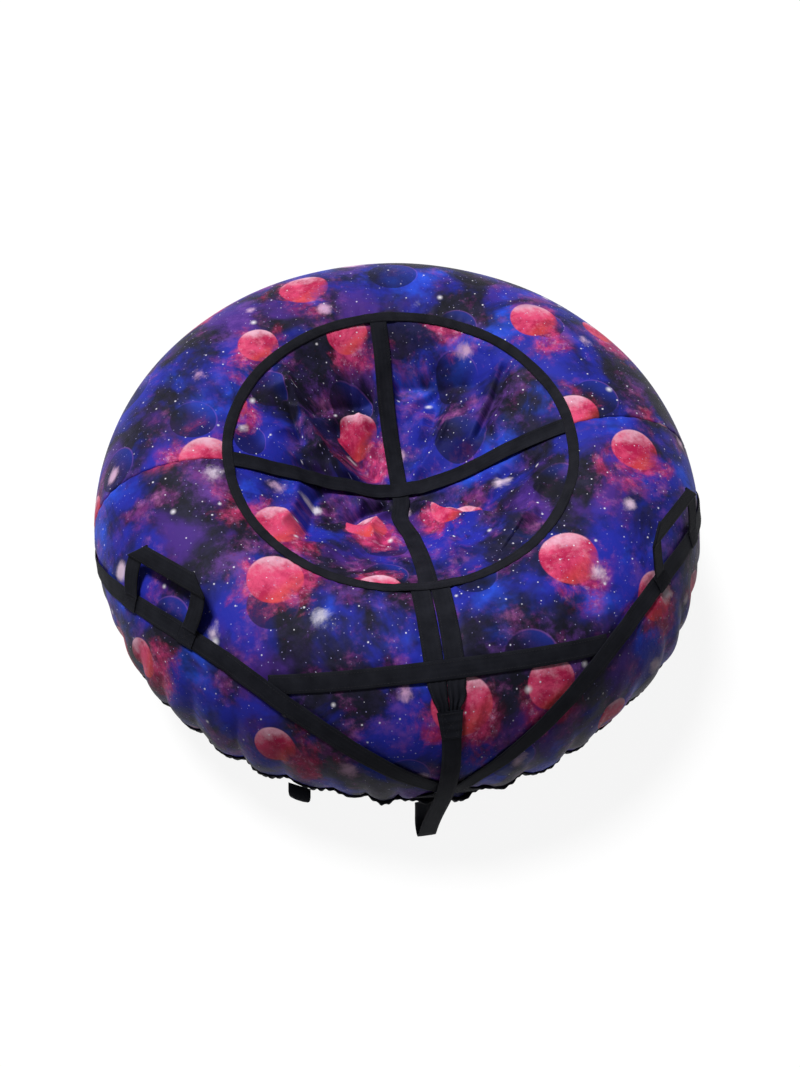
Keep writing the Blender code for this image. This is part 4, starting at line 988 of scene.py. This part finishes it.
def add_girth_straps():
    """The straps from the front V up over the sides, with the pads that hold the handles."""
    around = np.linspace(-5.1, 93.1, 260)
    gathers = 0.001 * ease((6.0 - girth(around)) / 30.0)
    spread = np.linspace(-1.0, 1.0, 24)
    for side, sign in (("left", -1.0), ("right", 1.0)):
        over = near(around, 33.0, 4.5, 10.0)
        if sign > 0:
            over = over + near(around, 0.0, 1.8, 4.8)
        bulge = 0.0004 * np.sin(around * 0.31 + sign) + 0.0003 * np.sin(around * 0.87)
        lift = FIRST + 0.0004 + bulge + gathers + STEP_UP * over
        tube_strap("girth_strap_" + side, sign * around, girth(around), lift)
        for foot, spot in (("front", 51.5), ("rear", 66.5)):
            pad = spot + np.degrees(0.015 / 0.46) * spread
            lift = SECOND + 0.0002 + 0.0003 * (1.0 - spread**4)
            name = side + "_handle_" + foot + "_foot"
            sew_box(*tube_strap(name, sign * pad, girth(pad), lift, rows=(0.3, -0.3)))


def add_tow_patch():
    """The stitched patch over the twin straps' ends, wider at its upper edge."""
    section = np.linspace(46.0, 33.0, 26)
    width = np.interp(section, (33.0, 46.0), (0.028, 0.037))
    lift = SECOND + 0.0012 + 0.0003 * np.sin(section * 1.7)
    sew_box(*tube_strap("tow_patch", 0.0 * section, section, lift, width, 0.0018))


add_harness()
add_girth_straps()
add_tow_patch()
seat_strap("seat_strap_fore_aft", False, 0.0)
seat_strap("seat_strap_cross", True, STEP_UP)


def add_handle(name, side, along, rise, bow, belly):
    """A grab handle of one flat band: up a leg, folded over itself at 45 degrees, across as
    the bar, and folded down the other leg. A point x in from the band's outer edge stands x
    inside the loop's outer line on a leg, and x above the bar's lower line, so both meet on
    the fold's diagonal. Half a turn round that diagonal joins them, and the bar lies over the
    legs. bow spreads the legs and belly lifts the loop, as sines of the height."""
    origin = np.array((side * 0.3906, -0.2327, 0.3071))
    along = np.array(along)
    rise = np.array(rise)
    over = unit(np.cross(along, rise)) * side
    outside = -0.0767  # the loop's outer line
    bottom = 0.056  # the bar's lower line
    gap = 0.0013  # from the loop's middle plane to the band's

    def bend(a, n, r):
        """Places from distances along the bar, off the loop's plane and up the legs."""
        spread = bow * np.sin(np.pi * np.clip(r / 0.075, 0.0, 1.0)) * ease(np.abs(a) / 0.045)
        a = a + np.sign(a) * spread
        n = n + belly * np.sin(np.pi * np.clip(r / 0.095, 0.0, 1.0))
        return origin + a[..., None] * along + n[..., None] * over + r[..., None] * rise

    across, high = web_section()
    x = ((across + 0.5) * WEB)[None]
    up = np.linspace(0.0, 1.0, 26)[:, None]
    way = np.linspace(1.0, 0.0, 26)[:, None]
    half_turn = np.linspace(0.0, np.pi, 9)[1:-1, None]
    turn = np.vstack([0.0 * up, half_turn, 0.0 * way + np.pi])
    a = np.vstack([outside + x + 0.0 * up, outside + x + 0.0 * half_turn, (outside + x) * way])
    r = np.vstack([
        up * (bottom + 0.001) - 0.001 + ease((up - 0.5) / 0.5) * x,
        bottom + x + 0.0 * half_turn, bottom + x + 0.0 * way,
    ])
    cut = np.stack([np.where(turn > 3.0, bottom - outside + a, r), x + 0.0 * r], axis=-1)
    reach = gap - (high[None] - 0.5) * 0.0020
    n = -np.cos(turn) * reach
    slide = np.sin(turn) * reach / np.sqrt(2.0)
    a = np.vstack([a - slide, (slide - a)[-2::-1]])
    r = np.vstack([r + slide, (r + slide)[-2::-1]])
    n = np.vstack([n, n[-2::-1]])
    cut = np.vstack([cut, ((2.0 * (bottom - outside), 0.0) + cut * (-1.0, 1.0))[-2::-1]])
    cut = np.concatenate([cut, cut[:, :1]], axis=1)
    body = name.replace("_", "_grab_")
    handle = add_band(name + "_web", bend(a, n, r), web, cut, body)
    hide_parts(name)
    for inset in (0.0031, 0.0249):
        leg = np.linspace(0.004, bottom + inset, 60)
        bar = np.linspace(outside + inset, -outside - inset, 90)
        for sign in (-1.0, 1.0):
            row = bend(sign * (0.0 * leg - outside - inset), 0.0 * leg - 0.0003, leg)
            sew(row, np.tile(over, (60, 1)), body)
        row = bend(bar, 0.0 * bar + gap + 0.0010, 0.0 * bar + bottom + inset)
        sew(row, np.tile(over, (90, 1)), body)


add_handle("left_handle", -1.0, (-0.6683, 0.7054, -0.2361), (0.3159, 0.5565, 0.7684), 0.006, 0.002)
add_handle("right_handle", 1.0, (0.6683, 0.7054, -0.2361), (-0.1436, 0.4338, 0.8895), 0.003, 0.001)


def add_hem_tab():
    """The folded tab under the hem at the front left, a doubled band that lies out and curls:
    reach, drop and width are straight between five stations, then smoothed four times."""
    around = -26.25
    turn = np.radians(around)
    out = np.array((np.sin(turn), -np.cos(turn), 0.0))
    side = np.array((np.cos(turn), np.sin(turn), 0.0))
    start = skin(around, HEM - 1.0, 0.0075)
    way = np.linspace(0.0, 1.0, 30)
    stations = np.linspace(0.0, 1.0, 5)
    reach = np.interp(way, stations, (0.0, 0.36, 0.70, 0.94, 1.0)) * 0.015
    drop = np.interp(way, stations, (0.0, 0.10, 0.32, 0.66, 1.0)) * 0.016
    width = np.interp(way, (0.0, 0.5, 0.75, 0.93, 1.0), (1.0, 1.0, 0.94, 0.78, 0.5)) * 0.036
    line = start + (out + 0.35 * side) * reach[:, None] - np.array((0.0, 0.0, 1.0)) * drop[:, None]
    for _ in range(4):
        line[1:-1] = (line[:-2] + 2.0 * line[1:-1] + line[2:]) / 4.0
    normal = np.cross(side, unit(np.gradient(line, axis=0)))
    tab = add_flat_band("folded_tab", line, side, normal, width, 0.0034)
    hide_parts("hem_tab")


add_hem_tab()

for body in stitches:
    add_stitches(body, thread)

finishes = {
    "valve_stem": rubber, "valve_base": rubber, "valve_cap": plastic, "valve_pin": brass,
    "zip_tape_front": tape, "zip_tape_rear": tape,
    "zip_teeth_front": plastic, "zip_teeth_rear": plastic,
    "zip_stop_left": zinc, "zip_stop_right": zinc, "zip_slider": zinc, "zip_pull": zinc,
}
for name, finish in finishes.items():
    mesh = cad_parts[name].data
    mesh.materials.clear()
    mesh.materials.append(finish)


def greatest(node, *rays):
    """1 for rays of these kinds and 0 for all others."""
    path = node("LightPath").node.outputs
    seen = path[rays[0]]
    for ray in rays[1:]:
        seen = node("Math MAXIMUM", seen, path[ray])
    return seen


def add_stage():
    """A pale floor, white to the camera and to reflections, that keeps the shadow. It is clear
    from below, so that the underside can be looked at."""
    material, node, shader = start_material(
        "pale_floor", Base_Color=colour("#606060"), Roughness=0.9, Specular_IOR_Level=0.1,
    )
    seen = greatest(node, "Is Camera Ray", "Is Glossy Ray")
    glow = node("Emission", Strength=node(TIMES, seen, 0.90))
    both = node("AddShader", shader.outputs[0], glow)
    under = node("NewGeometry").node.outputs["Backfacing"]
    shown = node("MixShader", under, both, node("BsdfTransparent"))
    fill(material.node_tree.nodes["Material Output"], Surface=shown)
    mesh = bpy.data.meshes.new("floor")
    size = 14.0
    low = -0.0006
    corners = [(-size, -size, low), (size, -size, low), (size, size, low), (-size, size, low)]
    mesh.from_pydata(corners, [], [(0, 1, 2, 3)])
    mesh.materials.append(material)
    floor = add_object("floor", mesh)


def add_light():
    """A plain world and one broad soft lamp, high behind the tube, as in the photograph."""
    world = bpy.data.worlds.new("studio")
    bpy.context.scene.world = world
    world.use_nodes = True
    node = partial(add_node, world.node_tree)
    seen = greatest(node, "Is Camera Ray", "Is Glossy Ray", "Is Transmission Ray")
    strength = node("MapRange LINEAR", seen, 0.0, 1.0, 0.07, 1.0)
    fill(world.node_tree.nodes["Background"], Color=(1.0, 1.0, 1.0, 1.0), Strength=strength)
    lamp = bpy.data.lights.new("overhead_softbox", "SUN")
    lamp.energy = 3.3
    lamp.angle = np.radians(16.0)
    holder = add_object("overhead_softbox", lamp)
    towards = Vector((-0.28, 0.34, 0.90))
    holder.rotation_mode = "QUATERNION"
    holder.rotation_quaternion = towards.to_track_quat("Z", "Y")


add_stage()
add_light()
bpy.context.scene.view_settings.view_transform = "Standard"
